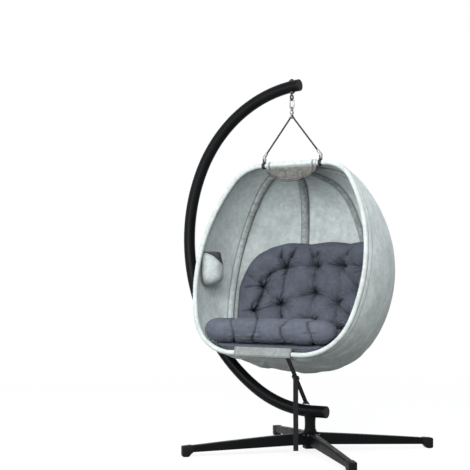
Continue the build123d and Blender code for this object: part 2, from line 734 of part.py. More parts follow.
# Reach of a D's inner or outer offset at one depth under its head.
def d_width(d, depth, offset):
    side_radius, head = d_shape(*d)
    shoulder, corner = d[3]
    level = side_radius * cos(radians(shoulder)) + d[1] * (1 - cos(radians(shoulder)))
    if depth <= -offset or depth >= hoop_height + offset:
        return 0.0
    if depth < d[1] - (d[1] + offset) * cos(radians(shoulder)):
        return head + sqrt((d[1] + offset) ** 2 - (d[1] - depth) ** 2)
    if depth > hoop_height - d[2] + (d[2] + offset) * cos(radians(corner)):
        foot = d[0] - side_radius * (1 - sin(radians(corner))) - d[2] * sin(radians(corner))
        return foot + sqrt((d[2] + offset) ** 2 - (d[2] - hoop_height + depth) ** 2)
    return d[0] - side_radius + sqrt((side_radius + offset) ** 2 - (level - depth) ** 2)


# Reach between the hoop and the ribs, read across from one to the next.
def d_reach(turn, depth, offset):
    inner_turn, outer_turn = rib_turns_shares[2], rib_turns_shares[3]
    if turn <= inner_turn:
        return d_width(inner_d, depth, offset)
    first, last = (inner_d, outer_d) if turn <= outer_turn else (outer_d, front_d)
    start, end = (inner_turn, outer_turn) if turn <= outer_turn else (outer_turn, 90)
    share = min(1.0, (turn - start) / (end - start))
    return d_width(first, depth, offset) * (1 - share) + d_width(last, depth, offset) * share


# Whether a point, seen from the foot of the hanging line, is inside the fan's offset.
def inside_pod(point, offset):
    depth = point[1] * down[1] + (point[2] - hoop_top[2]) * down[2]
    rear = point[1] * back[1] + (point[2] - hoop_top[2]) * back[2] - fan_setback
    turn = abs(degrees(atan2(point[0], rear)))
    return hypot(point[0], rear) < d_reach(turn, depth, offset)


# Distance from the hanging line to the fan's offset on a level ray.
def pod_radius(turn, height, offset):
    low, high = 0.0, inner_rib_reach
    while high - low > seat_gap:
        middle = (low + high) / 2
        if inside_pod((middle * sin(radians(turn)), middle * cos(radians(turn)), height), offset):
            low = middle
        else:
            high = middle
    return low


# Solid that fills the fan up to an offset from the ribs' axes.
def pod_room(offset):
    sections = []
    for turn in (-90,) + rib_turns_shares + (90,):
        d = front_d if abs(turn) == 90 else rib_d(turn)
        edges = d_edges(d, hoop_tube / 2, offset)
        closing = Line(edges[-1] @ 1, edges[0] @ 0).edge()
        sections.append(fan_plane(turn) * make_face(Wire(edges + [closing])))
    return loft(sections)


# Everything forward of the hoop's back edge.
def front_room():
    depth = roll_forward * 2
    return rim_plane * Pos(0, hoop_height / 2, sleeve_radius + running_gap - depth / 2) * Box(
        4 * inner_rib_reach, 2 * hoop_height, depth)


roll_half = roll_creases[-1]


# Bowl-shaped pad with a crowned top that fills the foot of the pod.
def cushion_seat():
    crown = Pos(hang_x, 0, seat_top - seat_crown_radius) * Sphere(seat_crown_radius)
    body = pod_room(-seat_offset) & crown
    roll = Pos(hang_x, -roll_forward, roll_height) * Rot(0, 90, 0) * Cylinder(
        roll_radius + running_gap, 4 * roll_half)
    ahead = Pos(hang_x, -roll_forward - roll_radius, roll_height) * Box(
        4 * roll_half, 2 * roll_radius, 2 * roll_radius)
    return body - front_room() - roll - ahead


# Radius of the roll before its seams, which falls to nothing at both ends.
def roll_reach(x):
    end = max(0.0, abs(x) - roll_half + roll_taper) / roll_taper
    return roll_radius * sqrt(max(0.0, 1 - end ** 2))


# Stuffed roll along the front of the seat, drawn in at its seams.
def cushion_roll():
    last = (-roll_half, roll_end_radius)
    edges = [Line((-roll_half, 0), last).edge()]
    for first, end in zip(roll_creases, roll_creases[1:]):
        middle = ((first + end) / 2, roll_reach((first + end) / 2))
        point = (end, roll_reach(end) - roll_pinch if end < roll_half else roll_end_radius)
        edges.append(ThreePointArc(last, middle, point).edge())
        last = point
    edges += [Line(last, (roll_half, 0)).edge(), Line((roll_half, 0), (-roll_half, 0)).edge()]
    profile = make_face(Wire(edges))
    return Pos(hang_x, -roll_forward, roll_height) * revolve(profile, Axis.X)


# Closed outline of the back cushion on one plane of the fan.
def back_section(turn, top_share, thick_share):
    top = back_low + (back_high - back_low) * top_share
    thick = back_thickness * thick_share
    outer = []
    inner = []
    for share in (0.0, 0.06, 0.28, 0.52, 0.76, 0.94, 1.0):
        height = back_low + (top - back_low) * share
        reach = outer_rib_reach - cushion_offset
        for _ in range(8):
            rear = reach * cos(radians(turn)) + fan_setback
            depth = (hoop_top[2] - height + rear * back[2]) / -down[2]
            reach = d_reach(abs(turn), depth, -cushion_offset)
        full = 1 - abs(2 * share - 1) ** 4
        outer.append((reach, depth))
        inner.append((reach - thick * (0.32 + 0.68 * full), depth))
    crest = (outer[-1][0] - thick * 0.2, outer[-1][1])
    sill = (outer[0][0] - thick * 0.25, outer[0][1])
    points = outer[1:-1] + [crest] + inner[-2:0:-1] + [sill]
    return fan_plane(turn) * make_face(Wire([Spline(points, periodic=True).edge()]))


# Tufted pad against the ribs, thickest in the middle.
def cushion_back():
    sections = [back_section(*values)
                for values in zip(back_turns_shares, back_top_shares, back_thick_shares)]
    body = loft(sections)
    for row, height in enumerate(tuft_levels):
        for turn in tuft_turns_shares:
            turn = turn + (row % 2) * tuft_turns_shares[-1] / 2
            reach = pod_radius(turn, height, -cushion_offset) - back_thickness
            reach += tuft_depth - tuft_radius
            centre = (hang_x + reach * sin(radians(turn)), reach * cos(radians(turn)), height)
            body = body - Pos(*centre) * Sphere(tuft_radius)
    return body


# Upright plane that clears the shell behind the pocket.
def pocket_wall_x():
    reach = inner_rib_reach
    for height in (pocket_low, (pocket_low + pocket_top) / 2, pocket_top):
        for y in (-pocket_forward - pocket_half_width, -pocket_forward + pocket_half_width):
            x = 0.0
            while inside_pod((-x, y, height), shell_inside - running_gap):
                x += seat_gap
            reach = min(reach, x)
    return hang_x - reach + running_gap


def pocket_outline(offset):
    half = pocket_half_width + offset
    deep = pocket_depth + offset
    bow = Spline((0, -half), (deep * 0.62, -half * 0.78), (deep, 0), (deep * 0.62, half * 0.78), (0, half),
                 tangents=[(1, 0), (-1, 0)])
    return make_face(Wire([bow.edge(), Line((0, half), (0, -half)).edge()]))


# Open pouch on the wall, its back flat and its front bowed.
def cup_pocket():
    place = Pos(pocket_wall_x(), -pocket_forward, pocket_low)
    height = pocket_top - pocket_low
    body = extrude(pocket_outline(0), height)
    room = Pos(pocket_wall, 0, pocket_wall) * extrude(pocket_outline(-2 * pocket_wall), height)
    return place * (body - room)


# Mesh band round the pocket's mouth.
def pocket_mesh():
    place = Pos(pocket_wall_x(), -pocket_forward, pocket_top - pocket_collar)
    band = extrude(pocket_outline(mesh_wall + seat_gap), pocket_collar)
    room = extrude(pocket_outline(seat_gap), pocket_collar)
    back_cut = Box(2 * pocket_wall, 4 * pocket_half_width, 4 * pocket_collar)
    return place * (band - room - back_cut)


# Tether, from under the hoop's foot to the loop on the lower tube.
foot_bar = (hang_x + strap_side, hoop_top[1] + hoop_height * down[1], hoop_top[2] + hoop_height * down[2])
anchor_top = stub_height + tube_radius + anchor_rise
strap_inner = flap_drop + flap_wall + running_gap
strap_top = (foot_bar[0], foot_bar[1] + strap_inner * down[1] - flap_drop * back[1],
             foot_bar[2] + strap_inner * down[2] - flap_drop * back[2])
strap_low = (-anchor_back, 0, anchor_top)
strap_span = tuple(b - a for a, b in zip(strap_top, strap_low))
strap_length = sqrt(sum(v ** 2 for v in strap_span))
strap_way = tuple(v / strap_length for v in strap_span)
slider_point = tuple(a + slider_share * strap_length * w for a, w in zip(strap_top, strap_way))


# Plane across the strap, its local X along the strap's width.
def strap_plane(point):
    side = Vector(1, 0, 0) - Vector(*strap_way) * strap_way[0]
    return Plane(origin=point, x_dir=side.normalized(), z_dir=strap_way)


def tether_upper():
    length = slider_share * strap_length - slider_height / 2 - running_gap
    return extrude(strap_plane(strap_top) * Rectangle(strap_width, strap_thickness), length)


# Webbing from the slider to the anchor, folded round its wire.
def tether_lower():
    start = tuple(a + (slider_height / 2 + running_gap) * w for a, w in zip(slider_point, strap_way))
    eye = anchor_wire / 2 + running_gap
    length = (1 - slider_share) * strap_length - slider_height / 2 - eye - strap_thickness / 2
    body = extrude(strap_plane(start) * Rectangle(strap_width, strap_thickness), length)
    across = Pos(*strap_low) * Rot(0, 90, 0)
    eye_ring = across * Cylinder(eye + strap_thickness, strap_width)
    return body + eye_ring - across * Cylinder(eye, 2 * strap_width)


# Moulded slide that takes up the slack and lets the tail hang.
def strap_slider():
    plane = strap_plane(slider_point)
    width = strap_width + 2 * slider_margin
    body = plane * Box(width, slider_depth, slider_height)
    slot = plane * Box(strap_width + seat_gap, strap_thickness + seat_gap, 2 * slider_height)
    bar = plane * Rot(0, 90, 0) * Cylinder(strap_thickness / 2, width)
    return body - slot + bar


# Free end of the webbing, hanging from the slide.
def strap_tail():
    slope = strap_way[2] / strap_way[1]
    under = slider_depth / 2 * sqrt(1 + slope ** 2) + strap_thickness / 2 * abs(slope)
    high = slider_point[2] - under - running_gap
    centre = (slider_point[0], slider_point[1], (high + tail_foot) / 2)
    return Pos(*centre) * Box(strap_width, strap_thickness, high - tail_foot)


def tip_cap():
    turn = radians(top_start - top_bend_turn)
    return tube_cap(tip_point, (sin(turn), 0, -cos(turn)))


def build():
    nodes = {
        "hub": hub(),
        "post": post(),
        "lower_arm": lower_arm(),
        "upper_arm": upper_arm(),
        "arm_spigot": arm_spigot(),
        "stub_cap": tube_cap((stub_reach - cap_length, 0, stub_height), (1, 0, 0)),
        "tip_cap": tip_cap(),
        "strap_anchor": strap_anchor(),
        "eye_bolt": eye_bolt(),
        "eye_nut": eye_nut() + saddle_washer(1),
        "eye_washer": saddle_washer(-1),
        "carabiner": carabiner(),
        "carabiner_gate": carabiner_gate(),
        "swivel_top": swivel_top(),
        "swivel_bottom": swivel_bottom(),
        "suspension_rope": suspension_rope(),
        "front_hoop": hoop_ring(hoop_tube / 2, hoop_tube / 2 - hoop_wall),
        "rim_sleeve": hoop_ring(sleeve_radius, hoop_tube / 2 + running_gap),
        "shell_fabric": shell(),
        "top_hub": rib_hub(0),
        "bottom_hub": rib_hub(hoop_height),
        "head_cover": head_cover() + head_bib(),
        "bottom_flap": bottom_flap(),
        "cup_pocket": cup_pocket(),
        "pocket_mesh": pocket_mesh(),
        "seat_cushion": cushion_seat(),
        "front_roll": cushion_roll(),
        "back_cushion": cushion_back(),
        "tether_upper": tether_upper(),
        "tether_lower": tether_lower(),
        "strap_slider": strap_slider(),
        "strap_tail": strap_tail(),
    }
    for number, angle in enumerate(leg_angles_shares, 1):
        nodes["leg_%d" % number] = Rot(0, 0, angle) * leg()
        nodes["foot_%d" % number] = Rot(0, 0, angle) * foot()
    for number, head in enumerate(leg_bolts(), 1):
        nodes["leg_bolt_%d" % number] = head
    for number, turn in enumerate(rib_turns_shares, 1):
        nodes["rib_%d" % number] = rib(turn)
    middle = Plane.YZ.offset(hang_x)
    outer = rib_sleeve(rib_turns_shares[0])
    inner = rib_sleeve(rib_turns_shares[2])
    sleeves = (outer, mirror(inner, middle), inner, mirror(outer, middle))
    for number, sleeve in enumerate(sleeves, 1):
        nodes["rib_sleeve_%d" % number] = sleeve
    for name, side in (("left", -1), ("right", 1)):
        nodes["bar_fitting_" + name] = bar_fitting(side)
        nodes["rope_shackle_" + name] = rope_shackle(side)
    return nodes


def main():
    os.makedirs("parts", exist_ok=True)
    nodes = build()
    boxes = [shape.bounding_box() for shape in nodes.values()]
    low = [min(getattr(box.min, axis) for box in boxes) for axis in "XYZ"]
    high = [max(getattr(box.max, axis) for box in boxes) for axis in "XYZ"]
    shift = (-(low[0] + high[0]) / 2, -(low[1] + high[1]) / 2, -low[2])
    for name, shape in nodes.items():
        export_step(Pos(*shift) * shape, "parts/" + name + ".step")
    print("shift", [round(value, 2) for value in shift])
    print("size", [round(b - a, 2) for a, b in zip(low, high)])
    for name, point in (("eye", (hang_x, 0, eye_low)), ("hook", (hang_x, 0, hook_low)),
                        ("swivel", (hang_x, 0, barrel_low)), ("tilt", (hang_x, 0, pin_height)),
                        ("gate", gate_pivot), ("slider", slider_point), ("strap top", strap_top)):
        print(name, [round(p + s, 2) for p, s in zip(point, shift)])


main()
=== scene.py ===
import bpy
import bmesh
import json
import math
import numpy as np
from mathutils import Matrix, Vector, noise


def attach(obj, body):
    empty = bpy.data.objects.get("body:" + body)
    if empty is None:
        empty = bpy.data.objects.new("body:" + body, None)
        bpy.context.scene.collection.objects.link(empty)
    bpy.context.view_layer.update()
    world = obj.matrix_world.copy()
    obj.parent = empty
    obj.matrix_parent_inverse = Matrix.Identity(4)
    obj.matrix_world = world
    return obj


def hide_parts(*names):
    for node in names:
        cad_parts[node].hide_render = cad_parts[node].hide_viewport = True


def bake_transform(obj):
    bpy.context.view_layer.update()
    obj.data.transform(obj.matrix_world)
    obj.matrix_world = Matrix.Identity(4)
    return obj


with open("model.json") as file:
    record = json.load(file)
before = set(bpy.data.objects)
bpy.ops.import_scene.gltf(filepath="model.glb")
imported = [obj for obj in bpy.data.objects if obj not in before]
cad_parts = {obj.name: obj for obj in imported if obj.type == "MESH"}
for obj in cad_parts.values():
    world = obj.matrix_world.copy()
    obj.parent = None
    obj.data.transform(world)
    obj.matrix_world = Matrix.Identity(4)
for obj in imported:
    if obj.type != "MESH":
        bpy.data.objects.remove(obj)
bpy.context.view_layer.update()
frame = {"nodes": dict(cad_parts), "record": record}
nodes = frame["nodes"]

# Metres. Shapes are worked out about the post's foot, then moved to the row's origin.
rowShift = np.array([0.150, -0.02088, 0.0])
hangX = -0.105    # the line from the arm's tip down to the pod

cameraSettings = {"place": (2.737, -5.126, 0.900), "aim": (-0.5292, 0.8475, 0.0408), "lens": 84.26,
                  "sensor": 36, "sight": 60}
floorSettings = {"size": 60.0, "colour": (0.15, 0.15, 0.148), "seen": (0.90, 0.90, 0.895), "lift": 0.84,
                 "fade": (1.4, 5.5), "drop": 0.0004}
worldSettings = {"colour": (0.94, 0.97, 1.0), "strength": 0.70}
lampSettings = {
    "key": {"place": (2.6, -3.4, 4.2), "aim": (0.0, 0.0, 0.9), "size": 2.6, "watts": 130.0,
            "colour": (1.0, 0.985, 0.96)},
    "fill": {"place": (-3.6, -3.0, 2.2), "aim": (0.0, 0.0, 0.9), "size": 3.2, "watts": 42.0,
             "colour": (0.95, 0.98, 1.0)},
    "inner": {"place": (-0.4, -3.3, 1.75), "aim": (0.0, 0.2, 1.0), "size": 1.8, "watts": 104.0,
              "colour": (1.0, 1.0, 1.0)},
    "front": {"place": (1.9, -4.4, 2.4), "aim": (0.0, 0.1, 1.0), "size": 1.6, "watts": 62.0,
              "colour": (1.0, 0.995, 0.98)},
    "top": {"place": (0.2, 1.4, 4.6), "aim": (0.0, 0.1, 0.9), "size": 3.0, "watts": 60.0,
            "colour": (1.0, 1.0, 1.0)},
}
white = (1.0, 1.0, 1.0)


def toRow(points):
    return np.asarray(points, float) + rowShift


def newObject(name, data):
    holder = bpy.data.objects.new(name, data)
    bpy.context.collection.objects.link(holder)
    return holder


def makeCamera():
    v = cameraSettings
    data = bpy.data.cameras.new("photoCamera")
    data.lens = v["lens"]
    data.sensor_width = v["sensor"]
    data.clip_end = v["sight"]
    camera = newObject("photoCamera", data)
    camera.location = toRow(v["place"])
    camera.rotation_euler = Vector(v["aim"]).to_track_quat("-Z", "Y").to_euler()
    bpy.context.scene.camera = camera


def makeLamps():
    for name, lamp in lampSettings.items():
        data = bpy.data.lights.new(name + "Lamp", "AREA")
        data.size = lamp["size"]
        data.energy = lamp["watts"]
        data.color = lamp["colour"]
        holder = newObject(name + "Lamp", data)
        holder.location = lamp["place"]
        way = Vector(lamp["aim"]) - Vector(lamp["place"])
        holder.rotation_euler = way.to_track_quat("-Z", "Y").to_euler()


class Num:
    # One number in a shader, so that maths on it reads as maths.
    def __init__(self, kit, socket):
        self.kit = kit
        self.socket = socket

    def maths(self, operation, first, second=0.0):
        return self.kit.add("ShaderNodeMath", {"operation": operation}, {0: first, 1: second})[0]

    def __add__(self, other): return self.maths("ADD", self, other)
    def __radd__(self, other): return self.maths("ADD", other, self)
    def __sub__(self, other): return self.maths("SUBTRACT", self, other)
    def __rsub__(self, other): return self.maths("SUBTRACT", other, self)
    def __mul__(self, other): return self.maths("MULTIPLY", self, other)
    def __rmul__(self, other): return self.maths("MULTIPLY", other, self)
    def __truediv__(self, other): return self.maths("DIVIDE", self, other)
    def __abs__(self): return self.maths("ABSOLUTE", self)
    def __pow__(self, other): return self.maths("POWER", self, other)

    def fraction(self): return self.maths("FRACT", self)
    def lowest(self, other): return self.maths("MINIMUM", self, other)
    def highest(self, other): return self.maths("MAXIMUM", self, other)

    def ramp(self, low, high, start=0.0, end=1.0):
        settings = {"interpolation_type": "SMOOTHSTEP", "clamp": True}
        return self.kit.add("ShaderNodeMapRange", settings, {0: self, 1: low, 2: high, 3: start, 4: end})[0]


class Kit:
    # The nodes of one material or world.
    def __init__(self, owner):
        owner.use_nodes = True
        self.owner = owner
        self.tree = owner.node_tree
        self.shader = self.tree.nodes.get("Principled BSDF")

    def add(self, kind, settings=None, values=None):
        node = self.tree.nodes.new(kind)
        for name, value in (settings or {}).items():
            setattr(node, name, value)
        for name, value in (values or {}).items():
            self.put(node.inputs[name], value)
        return [Num(self, socket) for socket in node.outputs]

    def put(self, socket, value):
        if isinstance(value, Num):
            self.tree.links.new(value.socket, socket)
        elif isinstance(value, (tuple, list)) and len(value) == 3 and len(socket.default_value) == 4:
            socket.default_value = (*value, 1.0)
        else:
            socket.default_value = value

    def place(self): return self.add("ShaderNodeTexCoord")[3]

    def attribute(self, name):
        return self.add("ShaderNodeAttribute", {"attribute_name": name, "attribute_type": "GEOMETRY"})[2]

    def seen(self):
        # 1 for the eye and for what shows in gloss or glass, 0 for the light on the object.
        rays = self.add("ShaderNodeLightPath")
        return (rays[0] + rays[3] + rays[6]).lowest(1.0)

    def cloud(self, scale, detail=3.0, rough=0.55, stretch=None):
        vector = self.place()
        if stretch:
            vector = self.add("ShaderNodeMapping", None, {0: vector, 3: stretch})[0]
        return self.add("ShaderNodeTexNoise", None,
                        {"Vector": vector, "Scale": scale, "Detail": detail, "Roughness": rough})[0]

    def weave(self, scale):
        # Threads that cross: two sets of bands.
        vector = self.place()
        bands = []
        for direction in ("X", "Z"):
            settings = {"wave_type": "BANDS", "bands_direction": direction, "wave_profile": "SIN"}
            values = {"Vector": vector, "Scale": scale, "Distortion": 0.6, "Detail": 1.0}
            bands.append(self.add("ShaderNodeTexWave", settings, values)[1])
        return (bands[0] + bands[1]) * 0.5

    def mix(self, factor, first, second):
        return self.add("ShaderNodeMix", {"data_type": "RGBA"}, {0: factor, 6: first, 7: second})[2]

    def tones(self, factor, colour, dark, light):
        return self.mix(factor, shade(colour, dark), shade(colour, light))

    def bump(self, height, strength, distance, under=None):
        values = {"Height": height, "Strength": strength, "Distance": distance}
        if under is not None:
            values["Normal"] = under
        return self.add("ShaderNodeBump", None, values)[0]

    def dress(self, **values):
        sockets = {"colour": "Base Color", "rough": "Roughness", "metal": "Metallic", "normal": "Normal",
                   "sheen": "Sheen Weight", "sheenRough": "Sheen Roughness", "specular": "Specular IOR Level",
                   "alpha": "Alpha"}
        for name, value in values.items():
            self.put(self.shader.inputs[sockets[name]], value)
        return self.owner


def newKit(name):
    return Kit(bpy.data.materials.new(name))


def shade(colour, factor):
    return tuple(value * factor for value in colour)


def ridge(value):
    # 1 at each whole number, 0 halfway.
    return abs(value.fraction() - 0.5) * 2


def stitchMask(kit, gap, along, halfWidth=0.8, pitch=5.5, fill=0.66):
    # Dashes of thread: gap is the distance from the seam, along the run of it, in millimetres.
    row = 1 - abs(gap).ramp(halfWidth * 0.5, halfWidth)
    dash = abs((along / pitch).fraction() - 0.5).ramp(fill / 2 - 0.06, fill / 2 + 0.06, 1.0, 0.0)
    return row * dash


metalSettings = {
    "standPaint": {"colour": (0.0032, 0.0036, 0.0040), "rough": 0.38, "grain": 420.0, "metal": 0.0, "shine": 0.06},
    "tubePaint": {"colour": (0.012, 0.012, 0.0125), "rough": 0.42, "grain": 500.0, "metal": 0.0, "shine": 0.3},
    "eyePaint": {"colour": (0.010, 0.010, 0.011), "rough": 0.36, "grain": 700.0, "metal": 0.0, "shine": 0.35},
    "hardware": {"colour": (0.21, 0.21, 0.215), "rough": 0.33, "grain": 900.0, "metal": 1.0, "shine": 0.5},
}
metalWear = {"patches": 11.0, "dark": 0.85, "light": 1.25, "scratches": 60.0, "bare": (0.66, 0.74),
             "bareShare": 0.35, "bareTint": 2.2, "bareRough": 0.12, "grainDepth": 0.0004}


def metalMaterial(name):
    v, wear = metalSettings[name], metalWear
    kit = newKit(name)
    grain = kit.cloud(v["grain"], 2.0)
    patch = kit.cloud(wear["patches"], 4.0)
    worn = kit.cloud(wear["scratches"], 5.0, 0.7).ramp(*wear["bare"])
    colour = kit.tones(patch.ramp(0.3, 0.7), v["colour"], wear["dark"], wear["light"])
    colour = kit.mix(worn * wear["bareShare"], colour, shade(v["colour"], wear["bareTint"]))
    rough = patch.ramp(0.3, 0.75, v["rough"] - 0.05, v["rough"] + 0.09) + worn * wear["bareRough"]
    return kit.dress(colour=colour, rough=rough, metal=v["metal"], specular=v["shine"],
                     normal=kit.bump(grain, 0.10, wear["grainDepth"]))


plasticSettings = {
    "footPlastic": {"colour": (0.003, 0.0032, 0.0035), "rough": 0.50, "grain": 900.0, "shine": 0.13},
    "fittingPlastic": {"colour": (0.008, 0.008, 0.0085), "rough": 0.46, "grain": 1100.0, "shine": 0.28},
    "sliderPlastic": {"colour": (0.008, 0.008, 0.008), "rough": 0.44, "grain": 1100.0, "shine": 0.28},
}
plasticWear = {"scuffs": 90.0, "scuffed": (0.62, 0.76), "scuffShare": 0.5, "scuffTint": 2.6, "scuffRough": 0.15,
               "grainDepth": 0.0003}


def plasticMaterial(name):
    v, wear = plasticSettings[name], plasticWear
    kit = newKit(name)
    grain = kit.cloud(v["grain"], 2.0)
    scuff = kit.cloud(wear["scuffs"], 6.0, 0.7).ramp(*wear["scuffed"])
    colour = kit.mix(scuff * wear["scuffShare"], v["colour"], shade(v["colour"], wear["scuffTint"]))
    rough = grain.ramp(0.3, 0.7, v["rough"] - 0.04, v["rough"] + 0.06) + scuff * wear["scuffRough"]
    return kit.dress(colour=colour, rough=rough, specular=v["shine"],
                     normal=kit.bump(grain, 0.22, wear["grainDepth"]))


# What most cloths share; each cloth below gives what differs.
plainCloth = {"dark": 0.78, "light": 1.14, "weave": 150.0, "streak": (1.0, 1.0, 1.0), "rough": 0.93, "sheen": 0.05,
              "rows": (), "litColour": None, "paintsCreaseShade": False}
clothSettings = {
    "shellCloth": {"colour": (0.515, 0.572, 0.568), "light": 1.10, "cloud": 9.0, "streak": (3.0, 3.0, 0.7),
                   "sheen": 0.12, "fuzz": 0.55, "rows": ("seamGap", "hemGap")},
    "rimCloth": {"colour": (0.435, 0.478, 0.472), "dark": 0.80, "light": 1.12, "cloud": 14.0,
                 "streak": (2.0, 2.0, 1.0), "sheen": 0.12, "fuzz": 0.5, "rows": ("seamGap",)},
    # The cover's own colour is a painted shaded tone for its bib, and its second colour a painted lit tone for the
    # top of its roll.
    "coverCloth": {"colour": (0.104, 0.105, 0.096), "dark": 0.62, "light": 1.34, "cloud": 30.0, "fuzz": 0.8,
                   "rows": ("seamGap", "hemGap"), "litColour": (0.45, 0.492, 0.488), "paintsCreaseShade": True},
    "flapCloth": {"colour": (0.200, 0.219, 0.214), "cloud": 24.0, "fuzz": 0.7, "rows": ("seamGap", "hemGap")},
    "pocketCloth": {"colour": (0.410, 0.456, 0.459), "dark": 0.80, "light": 1.10, "cloud": 30.0, "sheen": 0.12,
                    "fuzz": 0.6, "rows": ("seamGap",)},
    # The band's own colour is a painted shaded tone near the top of the pod, and its second colour the painted lit
    # tone lower down.
    "bandCloth": {"colour": (0.310, 0.340, 0.338), "dark": 0.72, "light": 1.24, "cloud": 26.0, "rough": 0.92,
                  "fuzz": 0.9, "rows": ("seamGap",), "litColour": (0.49, 0.545, 0.542), "paintsCreaseShade": True},
    "cushionCloth": {"colour": (0.0725, 0.082, 0.105), "dark": 0.80, "cloud": 11.0, "weave": 230.0, "rough": 0.88,
                     "sheen": 0.0, "fuzz": 0.35, "paintsCreaseShade": True},
}
# The groove numbers give the painted shade in the dent of a sewn row, the thread numbers the thread's own dark
# colour, and the fold numbers the painted shade in creases.
seamSettings = {"groove": (0.8, 4.6), "grooveShadeShare": 0.52, "grooveShadeTint": 0.36, "threadShare": 0.85,
                "threadTint": 0.30, "creaseShadeShare": 0.72, "creaseShadeTint": 0.22}


def clothMaterial(name):
    # Brushed cloth: cloudy nap, soft streaks, a fine weave and sewn rows where the mesh has them, with painted shade
    # in creases and in the dents of sewn rows, and painted lit and shaded tones where the mesh asks for them.
    v, sewn = {**plainCloth, **clothSettings[name]}, seamSettings
    kit = newKit(name)
    base = v["colour"]
    nap = kit.cloud(v["cloud"], 5.0, 0.62)
    mottle = kit.cloud(v["cloud"] * 4.7, 4.0, 0.66)
    streak = kit.cloud(v["cloud"] * 1.6, 3.0, 0.6, stretch=v["streak"])
    fine = kit.cloud(620.0, 2.0, 0.7)
    tint = (nap * 0.42 + mottle * 0.34 + streak * 0.24).ramp(0.36, 0.64)
    colour = kit.tones(tint, base, v["dark"], v["light"])
    weave = kit.weave(v["weave"])
    height = weave * 0.35 + fine * 0.3 + mottle * v["fuzz"]
    normal = kit.bump(height, 0.28, 0.0011)
    rough = fine.ramp(0.3, 0.7, v["rough"] - 0.05, 1.0)
    # Painted light and shade: the mesh's share moves the colour from the cloth's own shaded tone to a second, lit
    # tone.
    if v["litColour"]:
        colour = kit.mix(kit.attribute("fade"), colour, kit.tones(tint, v["litColour"], 0.82, 1.1))
    # Painted shade: the colour is darkened where the mesh marks creases, tuft pits, wrinkles and crinkle lines.
    if v["paintsCreaseShade"]:
        colour = kit.mix(kit.attribute("foldDark") * sewn["creaseShadeShare"], colour, shade(base, sewn["creaseShadeTint"]))
    for row in v["rows"]:
        gap = kit.attribute(row)
        thread = stitchMask(kit, gap, kit.attribute("seamRun"))
        # Painted shade: the cloth is darker in the dent along each sewn row; the thread itself is dark.
        groove = 1 - abs(gap).ramp(*sewn["groove"])
        colour = kit.mix(groove * sewn["grooveShadeShare"], colour, shade(base, sewn["grooveShadeTint"]))
        colour = kit.mix(thread * sewn["threadShare"], colour, shade(base, sewn["threadTint"]))
        normal = kit.bump(thread - groove * 0.8, 0.6, 0.0008, normal)
    return kit.dress(colour=colour, rough=rough, normal=normal, sheen=v["sheen"], sheenRough=0.5, specular=0.25)


webSettings = {"colour": (0.0045, 0.0047, 0.0053), "rough": 0.78, "rib": 2.1, "cord": 1.6, "depth": 0.0004}
ropeSettings = {"colour": (0.022, 0.022, 0.024), "rough": 0.8, "pitch": 9.0, "depth": 0.0011}
meshSettings = {"colour": (0.035, 0.036, 0.038), "rough": 0.85, "hole": 3.2, "depth": 0.0006}


def webMaterial():
    v = webSettings
    kit = newKit("webbing")
    along, across = kit.attribute("seamRun"), kit.attribute("seamGap")
    ribs = along / v["rib"]
    height = ridge(ribs) * 0.6 + ridge(across / v["cord"] + ribs * 0.5) * 0.5
    # Painted shade and highlight: the colour is darker in the dips of the weave and lighter on its ribs.
    return kit.dress(colour=kit.tones(height, v["colour"], 0.7, 1.7), rough=v["rough"], specular=0.2,
                     normal=kit.bump(height, 0.8, v["depth"]))


def ropeMaterial():
    v = ropeSettings
    kit = newKit("ropeCord")
    laps, lap = kit.attribute("seamRun") / v["pitch"], kit.attribute("seamGap")
    height = ridge(laps + lap).highest(ridge(laps - lap))
    # Painted shade and highlight: the colour is darker in the grooves between the strands and lighter on their
    # crowns.
    return kit.dress(colour=kit.tones(height, v["colour"], 0.6, 1.9), rough=v["rough"], specular=0.2,
                     normal=kit.bump(height, 0.9, v["depth"]))


def meshMaterial():
    # Open knit: holes between threads.
    v = meshSettings
    kit = newKit("pocketMesh")
    across, along = (ridge(kit.attribute(name) / v["hole"]) for name in ("seamGap", "seamRun"))
    thread = (across ** 2 + along ** 2).ramp(0.35, 0.55)
    # Painted shade and highlight: the threads are lighter where they cross and darker towards the holes.
    return kit.dress(colour=kit.tones(across * 0.5 + along * 0.5, v["colour"], 0.7, 1.6), rough=v["rough"],
                     alpha=thread.ramp(0.0, 1.0, 0.25, 1.0), normal=kit.bump(thread, 0.8, v["depth"]))


def floorMaterial():
    v = floorSettings
    kit = newKit("floorPlain")
    seen = kit.seen()
    kit.dress(colour=kit.mix(seen, v["colour"], v["seen"]), rough=0.9)
    away = kit.add("ShaderNodeVectorMath", {"operation": "LENGTH"}, {0: kit.place()})[1]
    lift = away.ramp(*v["fade"], v["lift"], 1.0)    # the shadow stays near the feet, far off it is white
    glow = kit.add("ShaderNodeEmission", None, {"Color": white, "Strength": 1.0})[0]
    body = Num(kit, kit.shader.outputs[0])
    both = kit.add("ShaderNodeMixShader", None, {0: seen * lift, 1: body, 2: glow})[0]
    kit.put(kit.tree.nodes["Material Output"].inputs[0], both)
    return kit.owner


def makeWorld():
    v = worldSettings
    world = bpy.data.worlds.new("studio")
    bpy.context.scene.world = world
    kit = Kit(world)
    kit.tree.nodes.clear()
    sky = kit.add("ShaderNodeBackground", None, {0: v["colour"], 1: v["strength"]})[0]
    plain = kit.add("ShaderNodeBackground", None, {0: white, 1: 1.0})[0]
    both = kit.add("ShaderNodeMixShader", None, {0: kit.seen(), 1: sky, 2: plain})[0]
    kit.add("ShaderNodeOutputWorld", None, {0: both})


